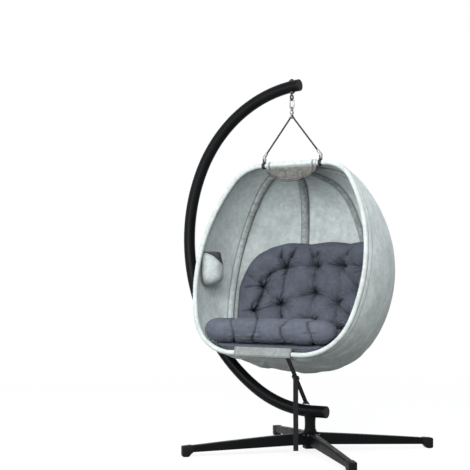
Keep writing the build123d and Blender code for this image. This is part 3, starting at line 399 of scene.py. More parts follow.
def makeFloor():
    half, low = floorSettings["size"] / 2, -floorSettings["drop"]
    data = bpy.data.meshes.new("floor")
    corners = [(x * half, y * half, low) for x, y in ((-1, -1), (1, -1), (1, 1), (-1, 1))]
    data.from_pydata(corners, [], [(0, 1, 2, 3)])
    floor = newObject("floor", data)
    data.materials.append(floorMaterial())


makeCamera()
makeLamps()
makeWorld()
makeFloor()
print("stage: camera, lamps and floor are set")

materials = {name: metalMaterial(name) for name in metalSettings}
materials.update({name: plasticMaterial(name) for name in plasticSettings})
materials.update({name: clothMaterial(name) for name in clothSettings})
materials.update({"webbing": webMaterial(), "rope": ropeMaterial(), "mesh": meshMaterial()})
print("stage: materials are made")


def makePiece(name, points, faces, material, **values):
    data = bpy.data.meshes.new(name)
    data.from_pydata(toRow(points).tolist(), [], faces)
    for key, value in values.items():
        layer = data.attributes.new(key, "FLOAT", "POINT")
        layer.data.foreach_set("value", np.asarray(value, np.float32).ravel())
    work = bmesh.new()
    work.from_mesh(data)
    bmesh.ops.recalc_face_normals(work, faces=work.faces)
    work.to_mesh(data)
    work.free()
    data.shade_smooth()
    data.materials.append(material)
    return newObject(name, data)


def gridPiece(name, grid, faces, material, **values):
    # A grid's points as a piece; each value spreads over the grid's shape.
    spread = {key: np.broadcast_to(value, grid.shape[:-1]) for key, value in values.items()}
    return makePiece(name, grid.reshape(-1, 3), faces, material, **spread)


def skinPiece(name, skins, material, **values):
    return gridPiece(name, np.stack(skins), pairFaces(*skins[0].shape[:2]), material, **values)


def settle(piece, body, node=None):
    # The body a piece rides on, and the solid it stands in for.
    if node:
        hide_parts(node)
    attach(piece, body)


def gridFaces(rows, columns, closeRows=False, closeColumns=False):
    faces = []
    for row in range(rows if closeRows else rows - 1):
        here, below = row * columns, (row + 1) % rows * columns
        for column in range(columns if closeColumns else columns - 1):
            beside = (column + 1) % columns
            faces.append((here + column, here + beside, below + beside, below + column))
    return faces


def borderSpots(rows, columns):
    # Rows and columns once round a grid's border.
    return ([(0, column) for column in range(columns - 1)] + [(row, columns - 1) for row in range(rows - 1)]
            + [(rows - 1, column) for column in range(columns - 1, 0, -1)]
            + [(row, 0) for row in range(rows - 1, 0, -1)])


def pairFaces(rows, columns):
    # Two skins of one grid, sewn together along their border.
    faces = gridFaces(rows, columns)
    start = rows * columns
    faces += [tuple(reversed([index + start for index in face])) for face in faces]
    edge = [row * columns + column for row, column in borderSpots(rows, columns)]
    for first, second in zip(edge, edge[1:] + edge[:1]):
        faces.append((first, second, second + start, first + start))
    return faces


def tubeFaces(rings, sides):
    faces = gridFaces(rings, sides, closeColumns=True)
    faces.append(tuple(range(sides)))
    faces.append(tuple(reversed(range((rings - 1) * sides, rings * sides))))
    return faces


def rumple(points, scale, seed=0.0):
    shift = Vector((seed, seed * 0.7, -seed))
    flat = np.asarray(points, float).reshape(-1, 3)
    values = [noise.noise(Vector(point) * scale + shift) for point in flat]
    return np.array(values).reshape(np.asarray(points).shape[:-1])


def ringRumple(angle, size, level, seed):
    # Rumpling that meets itself round a ring.
    return rumple(np.stack([np.cos(angle) * size, np.sin(angle) * size, angle * 0 + level], -1), 1, seed)


def unit(ways):
    return ways / np.maximum(np.linalg.norm(ways, axis=-1, keepdims=True), 1e-9)


def gridNormals(grid):
    # Square to a grid whose rows run down the pod and whose columns run round it.
    return unit(np.cross(np.gradient(grid, axis=0), np.gradient(grid, axis=1)))


def ringWays(first, second, sides):
    # Unit ways round each place of a line, from two ways that cross it.
    first, second = np.broadcast_arrays(first, second)
    angles = np.linspace(0, 2 * np.pi, sides, endpoint=False)[None, :, None]
    return np.cos(angles) * first[:, None, :] + np.sin(angles) * second[:, None, :]


def runLength(points):
    steps = np.linalg.norm(np.diff(points, axis=0), axis=-1)
    return np.concatenate([np.zeros((1,) + steps.shape[1:]), np.cumsum(steps, axis=0)])


def smooth(values, low, high):
    share = np.clip((np.asarray(values, float) - low) / (high - low), 0, 1)
    return share * share * (3 - 2 * share)


def roundEdge(gap, radius):
    # 0 at an edge, 1 from the radius inward, along a quarter of a circle.
    return np.sqrt(np.clip(1 - (1 - np.clip(gap / radius, 0, 1)) ** 2, 0, 1))


# The pod's fan: three D shapes that turn about the line from head to foot, blended round it.
tilt = math.radians(16.0)
hoopHeight = 1.032
acrossWay = np.array([1.0, 0.0, 0.0])
downWay = np.array([0.0, -math.sin(tilt), -math.cos(tilt)])
backWay = np.array([0.0, math.cos(tilt), -math.sin(tilt)])
hoopTop = np.array([hangX, 0.0, 1.5165])
fanSetBack = 0.0105
fanTop = hoopTop + fanSetBack * backWay
shapes = {
    "inner": {"reach": 0.668, "shoulder": 0.300, "corner": 0.320, "turns": (46.0, 68.0)},
    "outer": {"reach": 0.602, "shoulder": 0.280, "corner": 0.372, "turns": (46.0, 70.0)},
    "front": {"reach": 0.500, "shoulder": 0.196, "corner": 0.265, "turns": (56.7, 72.0)},
}
ribTurns = (-54.0, -18.0, 18.0, 54.0)


def profile(shape, offset=0.0, start=0.0, counts=(6, 16, 34, 24, 14)):
    # Half a D from its head to its foot as (reach, depth, heading), the offset to the outside.
    first, last = (math.radians(turn) for turn in shape["turns"])
    shoulder, corner = shape["shoulder"], shape["corner"]
    side = ((hoopHeight - shoulder * (1 - math.cos(first)) - corner * (1 - math.cos(last)))
            / (math.cos(first) + math.cos(last)))
    head = shape["reach"] - shoulder * math.sin(first) - side * (1 - math.sin(first))
    place = np.array([head, 0.0])
    rows = [(start + (head - start) * step / counts[0], 0.0, 0.0) for step in range(counts[0])]
    heading = 0.0
    for radius, turn, count in ((shoulder, first, counts[1]), (side, math.pi - first - last, counts[2]),
                                (corner, last, counts[3])):
        centre = place + radius * np.array([-math.sin(heading), math.cos(heading)])
        for step in range(count):
            now = heading + turn * step / count
            spot = centre - radius * np.array([-math.sin(now), math.cos(now)])
            rows.append((*spot, now))
        heading += turn
        place = centre - radius * np.array([-math.sin(heading), math.cos(heading)])
    rows += [(place[0] + (start - place[0]) * step / counts[4], place[1], math.pi)
             for step in range(counts[4] + 1)]
    rows = np.array(rows)
    rows[:, 0] += offset * np.sin(rows[:, 2])
    rows[:, 1] -= offset * np.cos(rows[:, 2])
    return rows


def evenBlend(turn, inner, outer, front):
    # Smooth round the fan through the values at 18, 54 and 90 degrees.
    share = (np.asarray(turn, float) / 90) ** 2
    near, far = (18 / 90) ** 2, (54 / 90) ** 2
    first = (share - far) * (share - 1) / ((near - far) * (near - 1))
    second = (share - near) * (share - 1) / ((far - near) * (far - 1))
    third = (share - near) * (share - far) / ((1 - near) * (1 - far))
    return inner * first + outer * second + front * third


def blendRows(turns, offset, start, counts=(6, 16, 34, 24, 14)):
    # Reach and depth of every row of the fan at each turn.
    rows = [profile(shape, offset, start, counts) for shape in shapes.values()]
    return [evenBlend(turns, *(form[:, column:column + 1] for form in rows)) for column in (0, 1)]


def fanPoint(turn, reach, depth):
    angle = np.radians(turn)
    way = np.sin(angle)[..., None] * acrossWay + np.cos(angle)[..., None] * backWay
    return fanTop + np.asarray(reach)[..., None] * way + np.asarray(depth)[..., None] * downWay


def fanReach(turn, depth, offset):
    rows = [profile(shape, offset) for shape in shapes.values()]
    return evenBlend(turn, *(np.interp(depth, form[:, 1], form[:, 0], left=0.0, right=0.0) for form in rows))


def insidePod(points, offset):
    # How far points are inside the fan's offset, and behind the hoop's plane.
    arm = np.asarray(points) - fanTop
    rear, across = arm @ backWay, arm @ acrossWay
    turn = np.clip(np.degrees(np.arctan2(across, rear)), -90, 90)
    return fanReach(turn, arm @ downWay, offset) - np.hypot(across, rear), rear


shellSettings = {"inside": 0.0083, "outside": 0.0118, "columns": 181, "start": 0.003, "flatten": 0.0045,
                 "sag": 0.0105, "broad": 0.0022, "fine": 0.0007, "drape": 0.0024, "ruck": 0.0016,
                 "bandSide": (0.028, 0.060), "bandHold": 0.35, "hems": (0.0235, 0.034), "ribSeam": 0.0235,
                 "flat": (2.04, 1.90), "area": 2.46}


def makeShell():
    v = shellSettings
    turns = np.linspace(-90, 90, v["columns"])[None, :]
    reach, depth = blendRows(turns, (v["inside"] + v["outside"]) / 2, v["start"])
    panel = np.sin(np.pi * (turns + 90) / 36) ** 2
    middle = smooth(depth, 0.04, 0.25) * (1 - smooth(depth, hoopHeight - 0.16, hoopHeight - 0.02))
    reach = reach - v["flatten"] * panel * middle
    turns = np.broadcast_to(turns, reach.shape)
    grid = fanPoint(turns, reach, depth)
    normal = gridNormals(grid)
    outward = grid - (hoopTop + 0.45 * hoopHeight * downWay + 0.2 * backWay)
    normal = normal * np.sign(np.sum(normal * outward, axis=2, keepdims=True))
    edge = smooth(90 - np.abs(turns), 0.5, 12) * smooth(reach, 0.04, 0.16)
    foot = smooth(depth, 0.74 * hoopHeight, 0.98 * hoopHeight)
    fromRim = reach * np.radians(90 - np.abs(turns))
    sag = rumple(np.stack([turns * 0.16, depth * 2.2, reach * 9], -1), 1.0, 1.7)
    drape = rumple(np.stack([turns * 0.11, depth * 1.3, turns * 0], -1), 1.0, 5.2)
    push = (v["broad"] * rumple(grid, 5.5, 3.1) + v["fine"] * rumple(grid, 26, 9.0)
            + v["sag"] * foot * (0.35 + 0.8 * sag) + v["drape"] * smooth(depth, 0.10, 0.5) * drape
            + v["ruck"] * rumple(grid, 44, 6.6) * (1 - smooth(fromRim, 0.03, 0.10)))
    nearest = np.min([np.abs(turns - turn) for turn in ribTurns], axis=0)
    fromRib = reach * np.radians(nearest)
    free = smooth(fromRib, *v["bandSide"])    # over a rib the cloth is only pushed outward
    push = np.where(push < 0, push * free, push * (v["bandHold"] + (1 - v["bandHold"]) * free))
    grid = grid + normal * (push * edge)[..., None]
    half = normal * (v["outside"] - v["inside"]) / 2
    seam = (fromRib - v["ribSeam"]) * 1000
    shell = skinPiece("shellCloth", [grid + half, grid - half], materials["shellCloth"],
                      seamRun=runLength(grid) * 1000, seamGap=np.stack([2.6 * np.abs(seam + 1.5), seam]),
                      hemGap=np.stack([(fromRim - gap) * 1000 for gap in v["hems"]]))
    settle(shell, "pod", "shell_fabric")


sleeveSettings = {"radius": 0.0129, "sides": 20, "rumple": 0.0005, "seamAt": 2.3}


def makeRimSleeve():
    # The sleeve round the front hoop, along its closed line.
    v = sleeveSettings
    rows = profile(shapes["front"], counts=(8, 22, 44, 34, 16))
    places, ways = [], []
    for side, part in ((1, rows), (-1, rows[::-1])):
        for reach, depth, heading in part[:-1]:
            places.append(hoopTop + side * reach * acrossWay + depth * downWay)
            ways.append(side * math.sin(heading) * acrossWay - math.cos(heading) * downWay)
    places = np.array(places)
    ring = ringWays(np.array(ways), backWay, v["sides"])
    lift = v["radius"] + v["rumple"] * rumple(places[:, None, :] + ring * 0.02, 30, 4.0)
    angles = np.linspace(0, 2 * np.pi, v["sides"], endpoint=False)
    sleeve = gridPiece("rimSleeveCloth", places[:, None, :] + ring * lift[..., None],
                       gridFaces(len(places), v["sides"], closeRows=True, closeColumns=True), materials["rimCloth"],
                       seamRun=runLength(places)[:, None] * 1000,
                       seamGap=(angles - v["seamAt"]) * v["radius"] * 1000)
    settle(sleeve, "pod", "rim_sleeve")


bandSettings = {"half": 0.0235, "columns": 29, "top": 0.0074, "low": 0.0060, "hump": -0.0098, "stitch": 0.0212,
                "start": 0.07, "counts": (16, 60, 150, 100, 50), "channel": 0.0205, "crinkle": 0.0017,
                "crinkled": 0.0195, "fade": (0.16, 0.52), "litShare": 0.88}


def makeRibBand(number, turn):
    # A band over a rib: its outer skin lies under the shell, its inner skin goes round the rib.
    v = bandSettings
    rows = profile(shapes["inner" if abs(turn) < 30 else "outer"], start=v["start"], counts=v["counts"])
    angle = math.radians(turn)
    out = math.sin(angle) * acrossWay + math.cos(angle) * backWay
    across = np.linspace(-1, 1, v["columns"])
    across = v["half"] * np.sign(across) * np.abs(across) ** 0.9
    low = v["low"] + (v["hump"] - v["low"]) * (1 - np.clip(np.abs(across) / v["channel"], 0, 1) ** 3.0)
    place = fanTop + rows[:, :1] * out + rows[:, 1:2] * downWay
    away = (np.sin(rows[:, 2:3]) * out - np.cos(rows[:, 2:3]) * downWay)[:, None, :]
    turns = turn + np.degrees(across[None, :] / np.maximum(rows[:, :1], 0.06))
    outside = fanPoint(turns, *blendRows(turns, v["top"], v["start"], v["counts"]))
    inside = outside - away * (v["top"] - low)[None, :, None]
    broad = np.clip(1 - np.abs(rumple(inside * np.array([1, 1, 0.7]), 34, turn)) * 7, 0, 1)
    small = np.clip(1 - np.abs(rumple(inside, 75, turn + 4)) * 5, 0, 1)
    lines = np.maximum(broad, 0.7 * small) * (np.abs(across) < v["crinkled"])[None, :]
    # Painted shade: the band takes its shaded tone near the top of the pod and its lit tone lower down, and its
    # crinkle lines are darkened.
    fade = v["litShare"] * smooth(rows[:, 1], *v["fade"])[:, None]
    band = skinPiece(f"ribBand{number}", [outside, inside + away * (v["crinkle"] * lines)[..., None]],
                     materials["bandCloth"], seamRun=runLength(place)[:, None] * 1000,
                     seamGap=(np.abs(across) - v["stitch"]) * 1000, foldDark=lines * (0.6 - 0.35 * fade), fade=fade)
    settle(band, "pod", f"rib_sleeve_{number}")


makeShell()
makeRimSleeve()
for number, turn in enumerate(ribTurns, 1):
    makeRibBand(number, turn)
print("stage: shell, rim and bands are made")


coverSettings = {"radius": 0.0196, "half": 0.1500, "bibHalf": 0.157, "bibTop": 0.0166, "bibLow": 0.0960,
                 "bibRows": 12, "join": 0.014, "belly": 0.0042, "bellyDrop": 0.05, "thick": 0.0046, "columns": 97,
                 "sides": 44, "stitches": (0.134, 0.128), "hem": 0.008, "roundEnd": 0.007, "endSink": 0.004,
                 "arc": (-48, -312), "wave": 0.0020, "fine": 0.0009, "wrinkle": 0.0022, "wrinkleShade": 0.75,
                 "fade": (0.004, 0.024), "fill": 0.4}


def makeHeadCover():
    # A padded roll with a half-moon bib that hangs from it in front of the ribs' hub.
    v = coverSettings
    across = np.linspace(-1, 1, v["columns"])
    across = v["half"] * (across + 0.10 * np.sin(np.pi * across))
    share = np.clip(1 - (across / v["bibHalf"]) ** 2, 0, 1)
    low = v["bibTop"] + (v["bibLow"] - v["bibTop"]) * share ** 0.55
    overEnd = np.clip(np.abs(across) - v["half"] + v["roundEnd"], 0, 1) / (v["roundEnd"] + 0.0001)
    ends = np.sqrt(np.clip(1 - overEnd ** 2, 0.02, 1))
    arc = np.radians(np.linspace(*v["arc"], v["sides"] - 2 * v["bibRows"]))
    points, hems = [], []
    for place, foot, end, part in zip(across, low, ends, share):
        radius = v["radius"] - v["endSink"] * (1 - end)
        front = foot + (v["join"] - foot) * np.arange(v["bibRows"]) / v["bibRows"]
        rear = v["join"] + (foot - v["join"]) * np.arange(1, v["bibRows"] + 1) / v["bibRows"]
        belly = v["thick"] + v["belly"] * np.sin(np.pi * np.minimum(1, (foot - front) / v["bellyDrop"])) * part
        backs = np.concatenate([-belly, radius * np.sin(arc), np.full(v["bibRows"], v["thick"])])
        drops = np.concatenate([front, radius * np.cos(arc), rear])
        points.append(hoopTop + place * acrossWay + backs[:, None] * backWay + drops[:, None] * downWay)
        hems.append(np.where((part > 0) & (drops > v["join"] - 0.002), (foot - drops - v["hem"]) * 1000, 40.0))
    grid = np.array(points)
    away = unit(grid - (hoopTop + across[:, None, None] * acrossWay))
    slant = np.stack([grid[..., 0] + grid[..., 2] * 0.8, grid[..., 2] * 1.5, grid[..., 1]], -1)
    drop = (grid - hoopTop) @ downWay
    lines = np.clip(1 - np.abs(rumple(slant, 17, 2.2)) * 9, 0, 1) * smooth(drop, 0.0, 0.03)
    push = v["wave"] * rumple(slant, 22, 3.2) + v["fine"] * rumple(grid, 70, 6.0) - v["wrinkle"] * lines
    grid = grid + away * (push * ends[:, None])[..., None]
    beyond, within = ((np.abs(across) - place) * 1000 for place in v["stitches"])
    seam = np.where(np.abs(across) > sum(v["stitches"]) / 2, beyond, within)
    # Painted light and shade: the top of the roll takes a lit tone and the bib a shaded one, and the wrinkle lines
    # are darkened.
    cover = gridPiece("headCoverCloth", grid, tubeFaces(*grid.shape[:2]), materials["coverCloth"],
                      seamRun=runLength(grid.transpose(1, 0, 2)).T * 1000, seamGap=seam[:, None],
                      hemGap=np.array(hems), fade=1 - smooth((grid - hoopTop) @ downWay, *v["fade"]),
                      foldDark=v["wrinkleShade"] * lines)
    settle(cover, "pod", "head_cover")


flapSettings = {"middle": -0.011, "half": 0.167, "columns": 73, "inner": 0.0134, "wall": 0.0022, "rise": 0.029,
                "drop": 0.0195, "wrap": (-60, 170), "wave": 0.0009, "lowHem": 0.005, "sideHem": 0.006}


def makeBottomFlap():
    # A flat panel in front of the hoop's foot, and the wrap that goes round it from the panel.
    v = flapSettings
    middle = v["inner"] + v["wall"] / 2
    panel = [(-middle, -v["rise"]), (-middle - 0.0004, -0.020), (-middle, -0.008), (-middle - 0.0002, 0.0),
             (-middle - 0.0004, 0.008), (-middle, v["drop"])]
    wrap = [(middle * math.sin(math.radians(turn)), -middle * math.cos(math.radians(turn)))
            for turn in range(v["wrap"][0], v["wrap"][1] + 1, 10)]
    across = np.linspace(-v["half"], v["half"], v["columns"])
    hoopFoot = hoopTop + hoopHeight * downWay + v["middle"] * acrossWay
    for name, way, isPanel in (("bottomFlapFront", panel, True), ("bottomFlapWrap", wrap, False)):
        way = np.array(way)
        fine, keys = np.linspace(0, 1, 4 * len(way)), np.linspace(0, 1, len(way))
        spots = np.stack([np.interp(fine, keys, way[:, axis]) for axis in (0, 1)], -1)
        tangent = unit(np.gradient(spots, axis=0))
        normal = np.stack([tangent[:, 1], -tangent[:, 0]], -1)
        skins = []
        for lift in (-v["wall"] / 2, v["wall"] / 2):
            rear, drop = ((spots + normal * lift)[:, axis, None, None] for axis in (0, 1))
            grid = hoopFoot + across[None, :, None] * acrossWay + rear * backWay + drop * downWay
            if isPanel:
                wave = rumple(np.stack([grid[..., 0] * 16, grid[..., 2] * 9, grid[..., 1] * 0], -1), 1, 3.3)
                grid = grid - backWay * np.abs(v["wave"] * wave)[..., None]
            skins.append(grid)
        low = (v["drop"] - v["lowHem"] - spots[:, 1:]) * 1000 if isPanel else 30.0
        flap = skinPiece(name, skins, materials["flapCloth"], seamRun=across * 1000 + 200, seamGap=low,
                         hemGap=(v["half"] - v["sideHem"] - np.abs(across)) * 1000)
        settle(flap, "pod", "bottom_flap" if isPanel else None)


pocketSettings = {"wall": -0.6093, "middle": -0.036, "half": 0.0740, "deep": 0.076, "low": 0.871, "top": 1.056,
                  "round": 0.060, "thick": 0.0028, "lipFront": 1.046, "lipRear": 0.976, "corner": 0.028,
                  "rows": 46, "columns": 61, "collarRows": 14, "mouth": 0.98, "foot": 0.30, "lipHem": 0.007}


def pocketSkin(ends, height, half, deep, base):
    # One skin of the pocket, as a bulge from the wall.
    v = pocketSettings
    bulge = deep * np.sqrt(np.clip(1 - np.abs(ends) ** 2.3, 0, 1))
    return np.stack([v["wall"] + base + bulge, v["middle"] + half * ends, height], -1)


def makeCupPocket():
    v = pocketSettings
    share = np.linspace(-1, 1, v["columns"])[None, :]
    ends = np.sign(share) * (1 - (1 - np.abs(share)) ** 1.5)
    lip = v["lipFront"] - (v["lipFront"] - v["lipRear"]) * smooth(share, -0.95, 0.45)
    skins = []
    lift = np.linspace(0, 1, v["rows"])[:, None]
    for inset in (0.0, v["thick"]):
        height = v["low"] + inset + (lip - v["low"] - inset) * lift
        rise = np.clip((height - v["low"]) / v["round"], 0, 1)
        swell = np.sqrt(np.clip(1 - (1 - rise) ** 2.2, 0, 1))
        mouth = smooth(height, v["mouth"], v["top"])
        half = (v["half"] - inset) * (v["foot"] + (1 - v["foot"]) * swell) * (1 - 0.04 * mouth)
        deep = (v["deep"] - inset) * swell * (1 - 0.16 * mouth) + 0.003
        grid = pocketSkin(ends, height, half, deep, 0.0006)
        grid[..., 0] += (0.0022 * rumple(grid, 30, 8.0) + 0.0008 * rumple(grid, 75, 2.0)) * swell
        skins.append(grid)
    pocket = skinPiece("cupPocketCloth", skins, materials["pocketCloth"],
                       seamRun=runLength(skins[0].transpose(1, 0, 2)).T * 1000,
                       seamGap=(lip - v["lipHem"]) * 1000 - skins[0][..., 2] * 1000)
    settle(pocket, "pod", "cup_pocket")

    height = np.linspace(v["low"] + 0.004, v["top"] - 0.004, 24)[:, None]
    rise = np.minimum(1.0, (height - v["low"]) / v["round"])
    half = v["half"] * (v["foot"] + (1 - v["foot"]) * np.sqrt(np.maximum(0.0, 1 - (1 - rise) ** 2.2)))
    half = half * np.minimum(1.0, (v["top"] - height) / v["corner"]) ** 0.45    # round upper corners
    spots = np.linspace(-0.99, 0.99, 15)[None, :]
    skins = [np.stack([np.broadcast_to(x, (24, 15)), v["middle"] + half * spots,
                       np.broadcast_to(height, (24, 15))], -1) for x in (v["wall"], v["wall"] + 0.002)]
    back = skinPiece("cupPocketBack", skins, materials["mesh"],
                     seamRun=skins[0][..., 2] * 1000, seamGap=skins[0][..., 1] * 1000)
    settle(back, "pod")

    skins = []
    lift = np.linspace(0, 1, v["collarRows"])[:, None]
    high = v["top"] - 0.005 * smooth(share, -0.6, 1.0) - v["corner"] * np.clip(ends, 0, 1) ** 4
    high = np.maximum(high, lip - 0.002)
    height = lip - 0.006 + (high - lip + 0.006) * lift
    mouth = smooth(height, v["mouth"], v["top"])
    for inset in (-0.0004, 0.0008):
        half = (v["half"] - 0.0032 - inset) * (1 - 0.04 * mouth)
        deep = (v["deep"] - 0.0034 - inset) * (1 - 0.16 * mouth - 0.12 * lift) + 0.002
        grid = pocketSkin(ends, height, half, deep, 0.0026)
        grid[..., 0] += 0.0015 * rumple(grid, 36, 8.0)
        skins.append(grid)
    collar = skinPiece("pocketMeshBand", skins, materials["mesh"], seamRun=skins[0][..., 2] * 1000,
                       seamGap=runLength(skins[0].transpose(1, 0, 2)).T * 1000)
    settle(collar, "pod", "pocket_mesh")


makeHeadCover()
makeBottomFlap()
makeCupPocket()
print("stage: cover, flap and pocket are made")


# One cap's side in millimetres: out from the post's axis, and up from the floor.
capSettings = {"side": ((624, 21.4), (634, 17), (643, 5), (650, 0), (657, 0), (666, 0), (675, 0), (681, 4),
                        (682.3, 14), (682.3, 30), (682.3, 50), (679.8, 54.4), (668, 55.4), (650, 57.0), (624, 59.4)),
               "half": 20.6, "edge": ((0, 2.6), (0.8, 0.9), (2.6, 0.0)), "turns": (45, 135, 225, 315)}


def makeFootCap(number, turn):
    v = capSettings
    side = np.array(v["side"], float)
    for _ in range(2):    # each pass rounds the corners
        after = np.roll(side, -1, axis=0)
        side = np.stack([side * 0.75 + after * 0.25, side * 0.25 + after * 0.75], 1).reshape(-1, 2)
    side[:, 1] = np.maximum(side[:, 1], 0)
    away = unit(side - side.mean(axis=0))
    stops = [(step - v["half"], inset) for step, inset in v["edge"]]
    stops += [(-across, inset) for across, inset in reversed(stops)]
    angle = math.radians(turn)
    out, over = np.array([math.cos(angle), math.sin(angle), 0]), np.array([-math.sin(angle), math.cos(angle), 0])
    grid = []
    for across, inset in stops:
        ring = side - away * inset
        grid.append((ring[:, :1] * out + across * over + ring[:, 1:] * np.array([0, 0, 1])) / 1000)
    cap = gridPiece(f"footCap{number}", np.array(grid), tubeFaces(len(stops), len(side)), materials["footPlastic"])
    settle(cap, "stand", f"foot_{number}")


for number, turn in enumerate(capSettings["turns"], 1):
    makeFootCap(number, turn)
print("stage: foot caps are made")


# Tufts as azimuth from straight back and height.
tufts = ((-33.0, 0.975), (-9.9, 0.980), (11.0, 0.979), (35.5, 0.972), (-49.5, 0.861), (-11.1, 0.832),
         (28.5, 0.851), (51.0, 0.859), (-36.8, 0.766), (8.9, 0.773), (37.0, 0.763), (-58.1, 0.728),
         (-12.0, 0.664), (26.5, 0.700), (57.0, 0.726))
# Creases as runs of tufts, by number, or of other spots as azimuth and height.
creases = ((0, 1, 2, 3), (0, (-45, 0.935), 4), (0, 8), (4, (-70, 0.868)), (4, 8), (4, 11), (1, 5), (5, 8), (5, 9),
           (2, 9), (5, 12), (8, 11), (8, 12), (9, 12), (3, 6), (6, 9), (6, 10), (3, 7), (7, 10), (10, 13),
           (9, 13), (10, 14), (0, (-37, 1.03), (-36, 1.10)), (0, (-29, 1.03), (-25, 1.09)), (1, (-8.5, 1.05)),
           (1, (-12, 1.03), (-15, 1.085)), (2, (18, 1.04), (23, 1.085)), (3, (43, 1.07)), (4, (-62, 0.93)),
           (11, (-78, 0.745)), (12, (-14, 0.64)), (8, (-38, 0.70), (-36, 0.64)), (11, (-60, 0.66)),
           (13, (30, 0.64)), (9, (12, 0.70), (11, 0.64)), (2, 6))
backSettings = {"turn": 51.5, "columns": 270, "rows": 164, "offset": -0.0142, "low": 0.630, "high": 1.104,
                "thick": 0.098, "seam": 0.036, "round": 0.075, "rearRound": 0.034, "pit": 0.046, "pitWide": 0.028,
                "crease": 0.0180, "creaseWide": 0.0062, "wander": 0.011, "puff": 0.031, "puffWide": 0.056,
                "fold": 0.0120, "foldTwist": 6.5, "foldFrom": (0.003, 0.016), "foldTo": (0.030, 0.088),
                "scallop": 0.010, "scallopTurn": 26.0, "body": 0.0034, "fine": 0.0012, "slack": 0.0030,
                "piping": 0.0032, "pipingSides": 8, "fill": 0.8}
buttonSettings = {"rows": 6, "sides": 16, "radius": 0.0075, "lift": 0.0036, "sunk": 0.001}
# Shares of the full height and thickness at turns from the middle.
topShares = ((0.0, 1.0), (27.0, 0.99), (38.0, 0.945), (44.0, 0.86), (48.0, 0.75), (50.2, 0.60), (51.5, 0.44))
thickShares = ((0.0, 1.0), (27.0, 1.0), (44.0, 0.78), (51.5, 0.52))


def turnCurve(pairs, turns):
    keys, values = zip(*pairs)
    return np.interp(np.abs(turns), keys, values)


def faceSpot(face, azimuth, height):
    # The nearest point of a cushion's face to a way from the hanging line at one height.
    reach = np.hypot(face[..., 0] - hangX, face[..., 1])
    turn = np.degrees(np.arctan2(face[..., 0] - hangX, face[..., 1]))
    away = np.hypot(np.radians(turn - azimuth) * reach, face[..., 2] - height)
    return face[np.unravel_index(np.argmin(away), away.shape)]


def segmentGap(points, first, last):
    run = last - first
    share = np.clip((points - first) @ run / (run @ run), 0, 1)
    return np.linalg.norm(points - first - share[..., None] * run, axis=-1), share


def backCushionForm():
    # The shell behind the cushion, the way inward, and how thick and round it is at each place.
    v = backSettings
    side = np.linspace(-1, 1, v["columns"])
    turns = v["turn"] * (np.sin(side * np.pi / 2) * 0.35 + side * 0.65)
    shares = turnCurve(topShares, turns)
    for _ in range(2):
        shares = np.convolve(np.pad(shares, 3, mode="edge"), np.ones(7) / 7, mode="valid")
    top = v["low"] + (v["high"] - v["low"]) * shares
    scallop = np.abs(np.sin(np.pi * (turns / v["scallopTurn"] + 0.5)))
    top = top + v["scallop"] * (scallop - 0.5) * smooth(50 - np.abs(turns), 0, 10)
    rise = np.linspace(0, 1, v["rows"])
    rise = rise * 0.7 + 0.3 * (0.5 - 0.5 * np.cos(np.pi * rise))
    height = v["low"] + (top - v["low"])[None, :] * rise[:, None]
    turns = np.broadcast_to(turns[None, :], height.shape)
    reach = np.full(height.shape, 0.55)
    for _ in range(9):    # the shell's place at these heights, a little nearer each time
        rear = reach * np.cos(np.radians(turns)) + fanSetBack
        depth = (hoopTop[2] - height + rear * backWay[2]) / -downWay[2]
        reach = fanReach(turns, depth, v["offset"])
    shell = fanPoint(turns, reach, depth)
    inward = unit(np.stack([hangX - shell[..., 0], -shell[..., 1] - 0.02, np.zeros(height.shape)], -1))
    inward[..., 2] = 0.10
    sideGap = np.radians(v["turn"] - np.abs(turns)) * reach * 1.15
    lowGap = (height - v["low"]) * 1.3
    gap = np.maximum(np.minimum(np.minimum(sideGap, top[None, :] - height), lowGap), 0)
    return shell, inward, gap, v["thick"] * turnCurve(thickShares, turns)


def creaseMaps(base, spots):
    # The gap to the nearest crease, and how deep the creases are.
    v = backSettings
    near, groove = np.full(base.shape[:2], 9.0), np.zeros(base.shape[:2])
    wander = v["wander"] * rumple(base, 15, 1.1)
    for run in creases:
        chain = [spots[stop] if isinstance(stop, int) else faceSpot(base, *stop) for stop in run]
        for first, last, stop in zip(chain, chain[1:], run[1:]):
            away, share = segmentGap(base, first, last)
            away = np.abs(away + wander * np.sin(np.pi * share))
            near = np.minimum(near, away)
            fade = 1 - 0.55 * np.sin(np.pi * share)
            if not isinstance(stop, int):
                fade = fade * (1 - 0.55 * share)
            groove = np.maximum(groove, fade * np.exp(-(away / v["creaseWide"]) ** 1.15))
    return near, groove


def tuftMaps(base, spots):
    # The pits, and the folds and thin lines that run out of them.
    v = backSettings
    pit, folds, lines = (np.zeros(base.shape[:2]) for _ in range(3))
    for number, spot in enumerate(spots):
        arm = base - spot
        away = np.linalg.norm(arm, axis=-1)
        pit = np.maximum(pit, np.exp(-(away / v["pitWide"]) ** 1.25))
        twist = np.arctan2(arm[..., 2], arm[..., 0] * 0.8 - arm[..., 1] * 0.5) + v["foldTwist"] * away
        wave = np.abs(ringRumple(twist, 2.5, number * 3.7, 0.4))
        reached = smooth(away, *v["foldFrom"]) * (1 - smooth(away, *v["foldTo"]))
        folds += (np.clip(wave * 4.2, 0, 1) - 0.5) * reached
        lines = np.maximum(lines, (1 - np.clip(wave * 11, 0, 1)) * reached)
    return pit, folds, lines


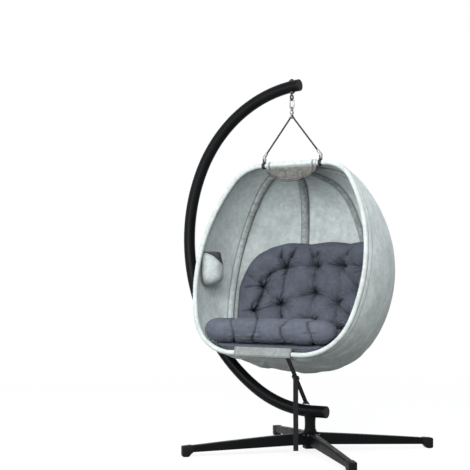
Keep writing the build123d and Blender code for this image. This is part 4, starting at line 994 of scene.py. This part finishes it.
def makeBackCushion():
    v = backSettings
    shell, inward, gap, thick = backCushionForm()
    seam = np.minimum(v["seam"], thick * 0.42)
    base = shell + inward * thick[..., None]
    spots = [faceSpot(base, azimuth, level) for azimuth, level in tufts]
    near, groove = creaseMaps(base, spots)
    pit, folds, lines = tuftMaps(base, spots)
    near = np.minimum(near, 0.09)
    slack = 0.5 - np.abs(rumple(base * np.array([1.0, 1.0, 0.8]), 24, 12.0)) * 2.4
    body = (v["body"] * rumple(base, 14, 7.7) + v["fine"] * rumple(base * np.array([1, 1, 2.2]), 40, 3.0)
            + v["slack"] * np.maximum(slack, 0) * smooth(near, 0.010, 0.035))
    lift = (v["puff"] * (roundEdge(near, v["puffWide"]) - 0.45) - v["pit"] * pit - v["crease"] * groove
            + v["fold"] * folds + body)
    calm = smooth(gap, 0.0, 0.05)
    front = seam + (thick - seam + lift * (0.25 + 0.75 * calm)) * roundEdge(gap, v["round"])
    back = seam * (1 - roundEdge(gap, v["rearRound"]))
    skins = [shell + inward * reach[..., None] for reach in (front, back)]
    # Painted shade: darker colour in the creases, in the tuft pits and along the fold lines.
    dark = np.clip(0.95 * groove ** 1.3 + 0.9 * pit ** 2.6 + 0.42 * lines, 0, 1) * calm
    cushion = skinPiece("backCushionCloth", skins, materials["cushionCloth"], foldDark=dark)
    border = np.array([skins[0][spot] for spot in borderSpots(v["rows"], v["columns"])])
    piping = ringTube("backCushionPiping", border, v["piping"], v["pipingSides"], materials["cushionCloth"])
    seats = [skins[0][np.unravel_index(np.argmin(np.linalg.norm(base - spot, axis=-1)), gap.shape)]
             for spot in spots]
    points, faces = [], []
    for seat in seats:
        button, sides = roundButton(seat)
        faces += [tuple(index + len(points) for index in face) for face in sides]
        points += button.tolist()
    studs = makePiece("backCushionTufts", points, faces, materials["cushionCloth"])
    settle(cushion, "pod", "back_cushion")
    for part in (piping, studs):
        settle(part, "pod")


def ringTube(name, line, radius, sides, material):
    # A closed round welt along a line.
    ahead = unit(np.roll(line, -1, axis=0) - np.roll(line, 1, axis=0))
    first = unit(np.cross(ahead, np.array([0.31, 0.22, 0.92])))
    grid = line[:, None, :] + radius * ringWays(first, np.cross(ahead, first), sides)
    return gridPiece(name, grid, gridFaces(len(line), sides, closeRows=True, closeColumns=True), material)


def roundButton(seat):
    # A covered tuft button in the bottom of its pit.
    v = buttonSettings
    way = unit(np.array([hangX - seat[0], -seat[1], 0.0]))
    ring = ringWays(np.cross(way, [0, 0, 1])[None, :], np.array([0.0, 0.0, 1.0]), v["sides"])
    rise = np.linspace(0, np.pi / 2, v["rows"])[:, None, None]
    grid = seat + way * (v["lift"] * np.sin(rise) - v["sunk"]) + ring * (v["radius"] * np.cos(rise) + 0.0002)
    return grid.reshape(-1, 3), tubeFaces(v["rows"], v["sides"])


rollSettings = {"height": 0.640, "forward": -0.246, "radius": 0.0630, "half": 0.3850, "taper": 0.092,
                "creases": (-0.196, -0.062, 0.110, 0.262), "pinch": 0.0135, "pinchWide": 0.0068,
                "creaseShadeWide": 0.0052, "bend": 0.015, "wander": 0.008, "pucker": 0.0060, "puckerFrom": 0.020,
                "puckerWide": 0.024, "gather": 0.0026, "columns": 260, "sides": 72, "fill": 0.85}


def makeFrontRoll():
    v = rollSettings
    share = np.linspace(-1, 1, v["columns"])
    x = v["half"] * (np.sin(share * np.pi / 2) * 0.25 + share * 0.75)
    angles = np.linspace(0, 2 * np.pi, v["sides"], endpoint=False)
    end = np.clip((np.abs(x) - v["half"] + v["taper"]) / v["taper"], 0, 1)
    across, around = np.meshgrid(x, angles, indexing="ij")
    reach = np.repeat(v["radius"] * np.sqrt(np.clip(1 - end ** 2.1, 0.0006, 1))[:, None], v["sides"], axis=1)
    dark = np.zeros(across.shape)
    for number, stop in enumerate(v["creases"]):
        line = (stop + v["bend"] * np.sin(around * 2.0 + 0.8 + number * 1.9)
                + v["wander"] * ringRumple(around, 1.6, number, 2.0))
        away = np.abs(across - line)
        depth = v["pinch"] * (0.8 + 0.25 * np.sin(around * 2 + number))
        reach -= depth * np.exp(-(away / v["pinchWide"]) ** 1.1)
        # Painted shade: darker colour along each crease.
        dark = np.maximum(dark, 0.9 * np.exp(-(away / v["creaseShadeWide"]) ** 1.4))
        folded = np.clip(np.abs(ringRumple(around, 5.2, number * 2.3, 5.0)) * 4.0, 0, 1) - 0.6
        reach += v["pucker"] * folded * np.exp(-((away - v["puckerFrom"]) / v["puckerWide"]) ** 2)
    stops = np.array((-v["half"], *v["creases"], v["half"]))
    lobe = np.ones(x.shape)
    for first, last in zip(stops, stops[1:]):
        inside = (x >= first) & (x <= last)
        lobe = np.where(inside, np.sin(np.pi * np.clip((x - first) / (last - first), 0, 1)) ** 0.5, lobe)
    reach *= 0.955 + 0.055 * lobe[:, None]
    gather = ringRumple(around, 4.4, np.sign(across), 1.0)
    reach += v["gather"] * gather * (end * (1 - end ** 6))[:, None]
    grid = np.stack([hangX + across, v["forward"] + reach * np.cos(around), v["height"] + reach * np.sin(around)], -1)
    grid[..., 2] += 0.0042 * rumple(grid, 9, 2.0) + 0.0026 * rumple(grid * np.array([1, 2, 1]), 34, 5.0)
    grid[..., 1] += 0.0030 * rumple(grid, 10, 6.0) + 0.0024 * rumple(grid, 40, 9.0)
    roll = gridPiece("frontRollCloth", grid, tubeFaces(v["columns"], v["sides"]), materials["cushionCloth"],
                     foldDark=dark)
    settle(roll, "pod", "front_roll")


padSettings = {"top": 0.648, "crown": 2.4, "offset": -0.0118, "rows": 34, "columns": 144, "back": 0.06,
               "seamDrop": 0.022, "round": 0.045, "lowRound": 0.02, "behindHoop": 0.0045, "rollGap": 0.0012,
               "wave": 0.004, "fine": 0.0014, "sink": 0.005, "piping": 0.0030, "pipingSides": 8, "fill": 0.7}


def padTop(x, y):
    # Height of the seat pad's upper face, which dips under the roll.
    v, roll = padSettings, rollSettings
    crown = v["top"] - v["crown"] + np.sqrt(v["crown"] ** 2 - (x - hangX) ** 2 - y ** 2)
    room = roll["radius"] + v["rollGap"]
    away = np.clip(y - roll["forward"], -room, room)
    under = roll["height"] - np.sqrt(np.maximum(room ** 2 - away ** 2, 0))
    under = np.where(y > roll["forward"] + room, 9.0, np.where(y < roll["forward"], roll["height"] - room, under))
    return np.minimum(crown - 0.001, under)


def makeSeatPad():
    v = padSettings
    turns = np.linspace(0, 2 * np.pi, v["columns"], endpoint=False)
    wayX, wayY = np.sin(turns), np.cos(turns)
    edge, high = np.zeros(len(turns)), np.full(len(turns), 0.8)
    for _ in range(22):    # out from the middle to the shell, by halves
        mid = (edge + high) / 2
        x, y = hangX + wayX * mid, v["back"] + wayY * mid
        room, rear = insidePod(np.stack([x, y, padTop(x, y) - v["seamDrop"]], -1), v["offset"])
        good = (room > 0) & (rear > v["behindHoop"])
        edge, high = np.where(good, mid, edge), np.where(good, high, mid)
    shares = np.sin(np.linspace(0, 1, v["rows"]) * np.pi / 2)
    shares[0] = 0.004
    reach = shares[:, None] * edge[None, :]
    x, y = hangX + reach * wayX, v["back"] + reach * wayY
    top = padTop(x, y)
    low, bottom = np.full(x.shape, 0.3), top.copy()
    for _ in range(20):    # down to the shell
        mid = (low + bottom) / 2
        good = insidePod(np.stack([x, y, mid], -1), v["offset"])[0] > 0
        bottom, low = np.where(good, mid, bottom), np.where(good, low, mid)
    gap = (1 - shares)[:, None] * edge[None, :]
    seam = np.maximum(top - v["seamDrop"], (top + bottom) / 2)
    level = np.stack([x, y, x * 0], -1)
    upper = seam + (top - seam) * roundEdge(gap, v["round"])
    upper += (v["wave"] * rumple(level, 9, 1.0) + v["fine"] * rumple(level, 34, 2.0)
              - v["sink"]) * smooth(gap, 0.0, 0.04)
    lower = np.minimum(seam + (bottom - seam) * roundEdge(gap, v["lowRound"]), upper - 0.0005)
    grid = np.stack([np.stack([x, y, face], -1) for face in (upper, lower)])
    count, columns = v["rows"] * v["columns"], v["columns"]
    faces = gridFaces(v["rows"], columns, closeColumns=True)
    faces += [tuple(reversed([index + count for index in face])) for face in faces]
    last = count - columns
    for step in range(columns):
        beside = last + (step + 1) % columns
        faces.append((last + step, beside, beside + count, last + step + count))
    faces += [tuple(range(columns)), tuple(range(count, count + columns))]
    pad = gridPiece("seatPadCloth", grid, faces, materials["cushionCloth"])
    piping = ringTube("seatPadPiping", grid[0, -1], v["piping"], v["pipingSides"], materials["cushionCloth"])
    settle(pad, "pod", "seat_cushion")
    settle(piping, "pod")


makeBackCushion()
makeFrontRoll()
makeSeatPad()
print("stage: cushions are made")


# Routes: the rope from fitting to fitting over the swivel's ring, and the strap's free tail.
ropeLine = ((-0.2598, 0.0, 1.5833), (-0.1424, 0.0, 1.7305), (-0.1192, 0.0, 1.7596), (-0.105, 0.0, 1.7815),
            (-0.0908, 0.0, 1.7596), (-0.0676, 0.0, 1.7305), (0.0498, 0.0, 1.5833))
tailLine = ((0.0131, -0.1791, 0.3945), (0.0131, -0.1791, 0.330), (0.0123, -0.1788, 0.250),
            (0.0137, -0.1796, 0.150), (0.0129, -0.1789, 0.080), (0.0131, -0.1791, 0.030))
ropeSizes = {"radius": 0.0049, "sides": 14, "step": 0.0011, "groove": 0.0006}
webSizes = {"width": 0.026, "thick": 0.0026, "spots": 13, "step": 0.002, "across": (1.0, 0.0, 0.0),
            "tailAcross": (0.85, 0.53, 0.0)}
tetherSettings = {"bodies": ("stand", "hook", "swivel", "hanger", "pod"), "shares": (0, 0.22, 0.52, 0.70, 1),
                  "slide": 0.0125, "loop": 0.0058, "loopSteps": 32}
strapTop = np.array((0.190, -0.32958, 0.50886)) - rowShift
strapSlide = np.array((0.16312, -0.19993, 0.40245)) - rowShift
strapAnchor = np.array((0.126, -0.02088, 0.2555)) - rowShift


def splinePoints(name, places, resolution):
    # Points along the smooth line of a route.
    data = bpy.data.curves.new(name, "CURVE")
    data.dimensions = "3D"
    line = data.splines.new("NURBS")
    line.points.add(len(places) - 1)
    for point, place in zip(line.points, toRow(places)):
        point.co = (*place, 1.0)
    line.order_u = 3
    line.use_endpoint_u = True
    line.resolution_u = resolution
    holder = newObject(name, data)
    bpy.context.view_layer.update()
    drawn = bpy.data.meshes.new_from_object(holder)
    found = np.array([vertex.co for vertex in drawn.vertices]) - rowShift
    bpy.data.meshes.remove(drawn)
    bpy.data.objects.remove(holder)
    bpy.data.curves.remove(data)
    return found


def makeRope():
    v = ropeSizes
    path = splinePoints("ropeRoute", ropeLine, 40)
    run = runLength(path)
    fine = np.arange(0, run[-1], v["step"])
    path = np.stack([np.interp(fine, run, path[:, axis]) for axis in range(3)], -1)
    first = np.array([0.0, 1.0, 0.0])
    ways = ringWays(first, np.cross(unit(np.gradient(path, axis=0)), first), v["sides"])
    laps = fine[:, None] * 1000 / ropeSettings["pitch"]
    lap = np.arange(v["sides"])[None, :] / v["sides"]
    left, right = (np.abs(turns * 2 % 1 - 0.5) for turns in (laps + lap, laps - lap))
    reach = v["radius"] - v["groove"] * np.minimum(left, right) * 2
    rope = gridPiece("suspensionRopeCord", path[:, None, :] + reach[..., None] * ways,
                     tubeFaces(len(path), v["sides"]), materials["rope"], seamRun=fine[:, None] * 1000, seamGap=lap)
    settle(rope, "hanger", "suspension_rope")


def webGrid(path, side):
    # A flat strap along a path: its outline at each place, and how far each spot lies from the middle.
    v = webSizes
    half, thick = v["width"] / 2, v["thick"] / 2
    ahead = unit(np.gradient(path, axis=0))
    side = np.array(side)
    side = unit(side - ahead * np.sum(ahead * side, axis=1, keepdims=True))
    face = np.cross(side, ahead)
    flat = np.linspace(-0.94, 0.94, v["spots"])
    across = np.concatenate([[-1], flat, [1], flat[::-1]])[None, :, None] * half
    lift = np.repeat([0, 1, 0, -1], [1, v["spots"], 1, v["spots"]])[None, :, None] * thick
    return path[:, None, :] + across * side[:, None, :] + lift * face[:, None, :], across[..., 0] * 1000


def makeWeb(name, path, run, side=webSizes["across"]):
    grid, across = webGrid(path, side)
    return gridPiece(name, grid, tubeFaces(*grid.shape[:2]), materials["webbing"], seamRun=run[:, None] * 1000,
                     seamGap=across)


def makeStrap(name, first, last, start=0.0):
    length = np.linalg.norm(last - first)
    shares = np.linspace(0, 1, max(8, int(length / webSizes["step"])))
    return makeWeb(name, first + shares[:, None] * (last - first), start + shares * length)


def makeTether():
    # The stretch over the slide crosses four joints, so it is four pieces end to end.
    v = tetherSettings
    way = unit(strapSlide - strapTop)
    low = strapSlide - way * v["slide"]
    stops = [low + (strapTop - low) * share for share in v["shares"]]
    for number, (first, last) in enumerate(zip(stops, stops[1:])):
        part = makeStrap(f"tetherStretch{number + 1}", first, last, np.linalg.norm(first - low))
        v["bodies"][number + 1]
        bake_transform(part)
        if number == 0:
            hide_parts("tether_upper")
    lower = makeStrap("tetherLowerWeb", strapSlide + way * v["slide"], strapAnchor - way * v["loop"])
    settle(lower, "stand", "tether_lower")

    angles = np.linspace(0, 2 * np.pi, v["loopSteps"] + 1)
    loop = strapAnchor + v["loop"] * np.stack([angles * 0, np.cos(angles), np.sin(angles)], -1)
    grid, across = webGrid(loop, webSizes["across"])
    ring = gridPiece("tetherLoopWeb", grid[:-1], gridFaces(len(loop) - 1, grid.shape[1], closeRows=True,
                                                           closeColumns=True), materials["webbing"],
                     seamRun=angles[:-1, None] * v["loop"] * 1000, seamGap=across)
    settle(ring, "stand")


def makeStrapTail():
    path = splinePoints("tailRoute", tailLine, 20)
    tail = makeWeb("strapTailWeb", path, runLength(path), webSizes["tailAcross"])
    settle(tail, "stand", "strap_tail")


makeRope()
makeTether()
makeStrapTail()
print("stage: rope and webbing are made")

# Parts that come as they are from the solids get the material of their slot; the arm's eye is painted.
slotMaterials = {"stand_metal": "standPaint", "foot_plastic": "footPlastic", "hardware": "hardware",
                 "webbing": "webbing", "slider_plastic": "sliderPlastic", "rope": "rope", "pod_tube": "tubePaint",
                 "fitting_plastic": "fittingPlastic", "shell_cloth": "shellCloth", "band_cloth": "bandCloth",
                 "mesh": "mesh", "cushion_cloth": "cushionCloth"}
for part in frame["record"]["subparts"]:
    painted = part["node"].startswith("eye_")
    for place in nodes[part["node"]].material_slots:
        place.material = materials["eyePaint" if painted else slotMaterials[part["material_slot"]]]
print("stage: the other parts have their materials")

scene = bpy.context.scene
scene.view_settings.view_transform = "Standard"
scene.render.resolution_x = 470
scene.render.resolution_y = 470
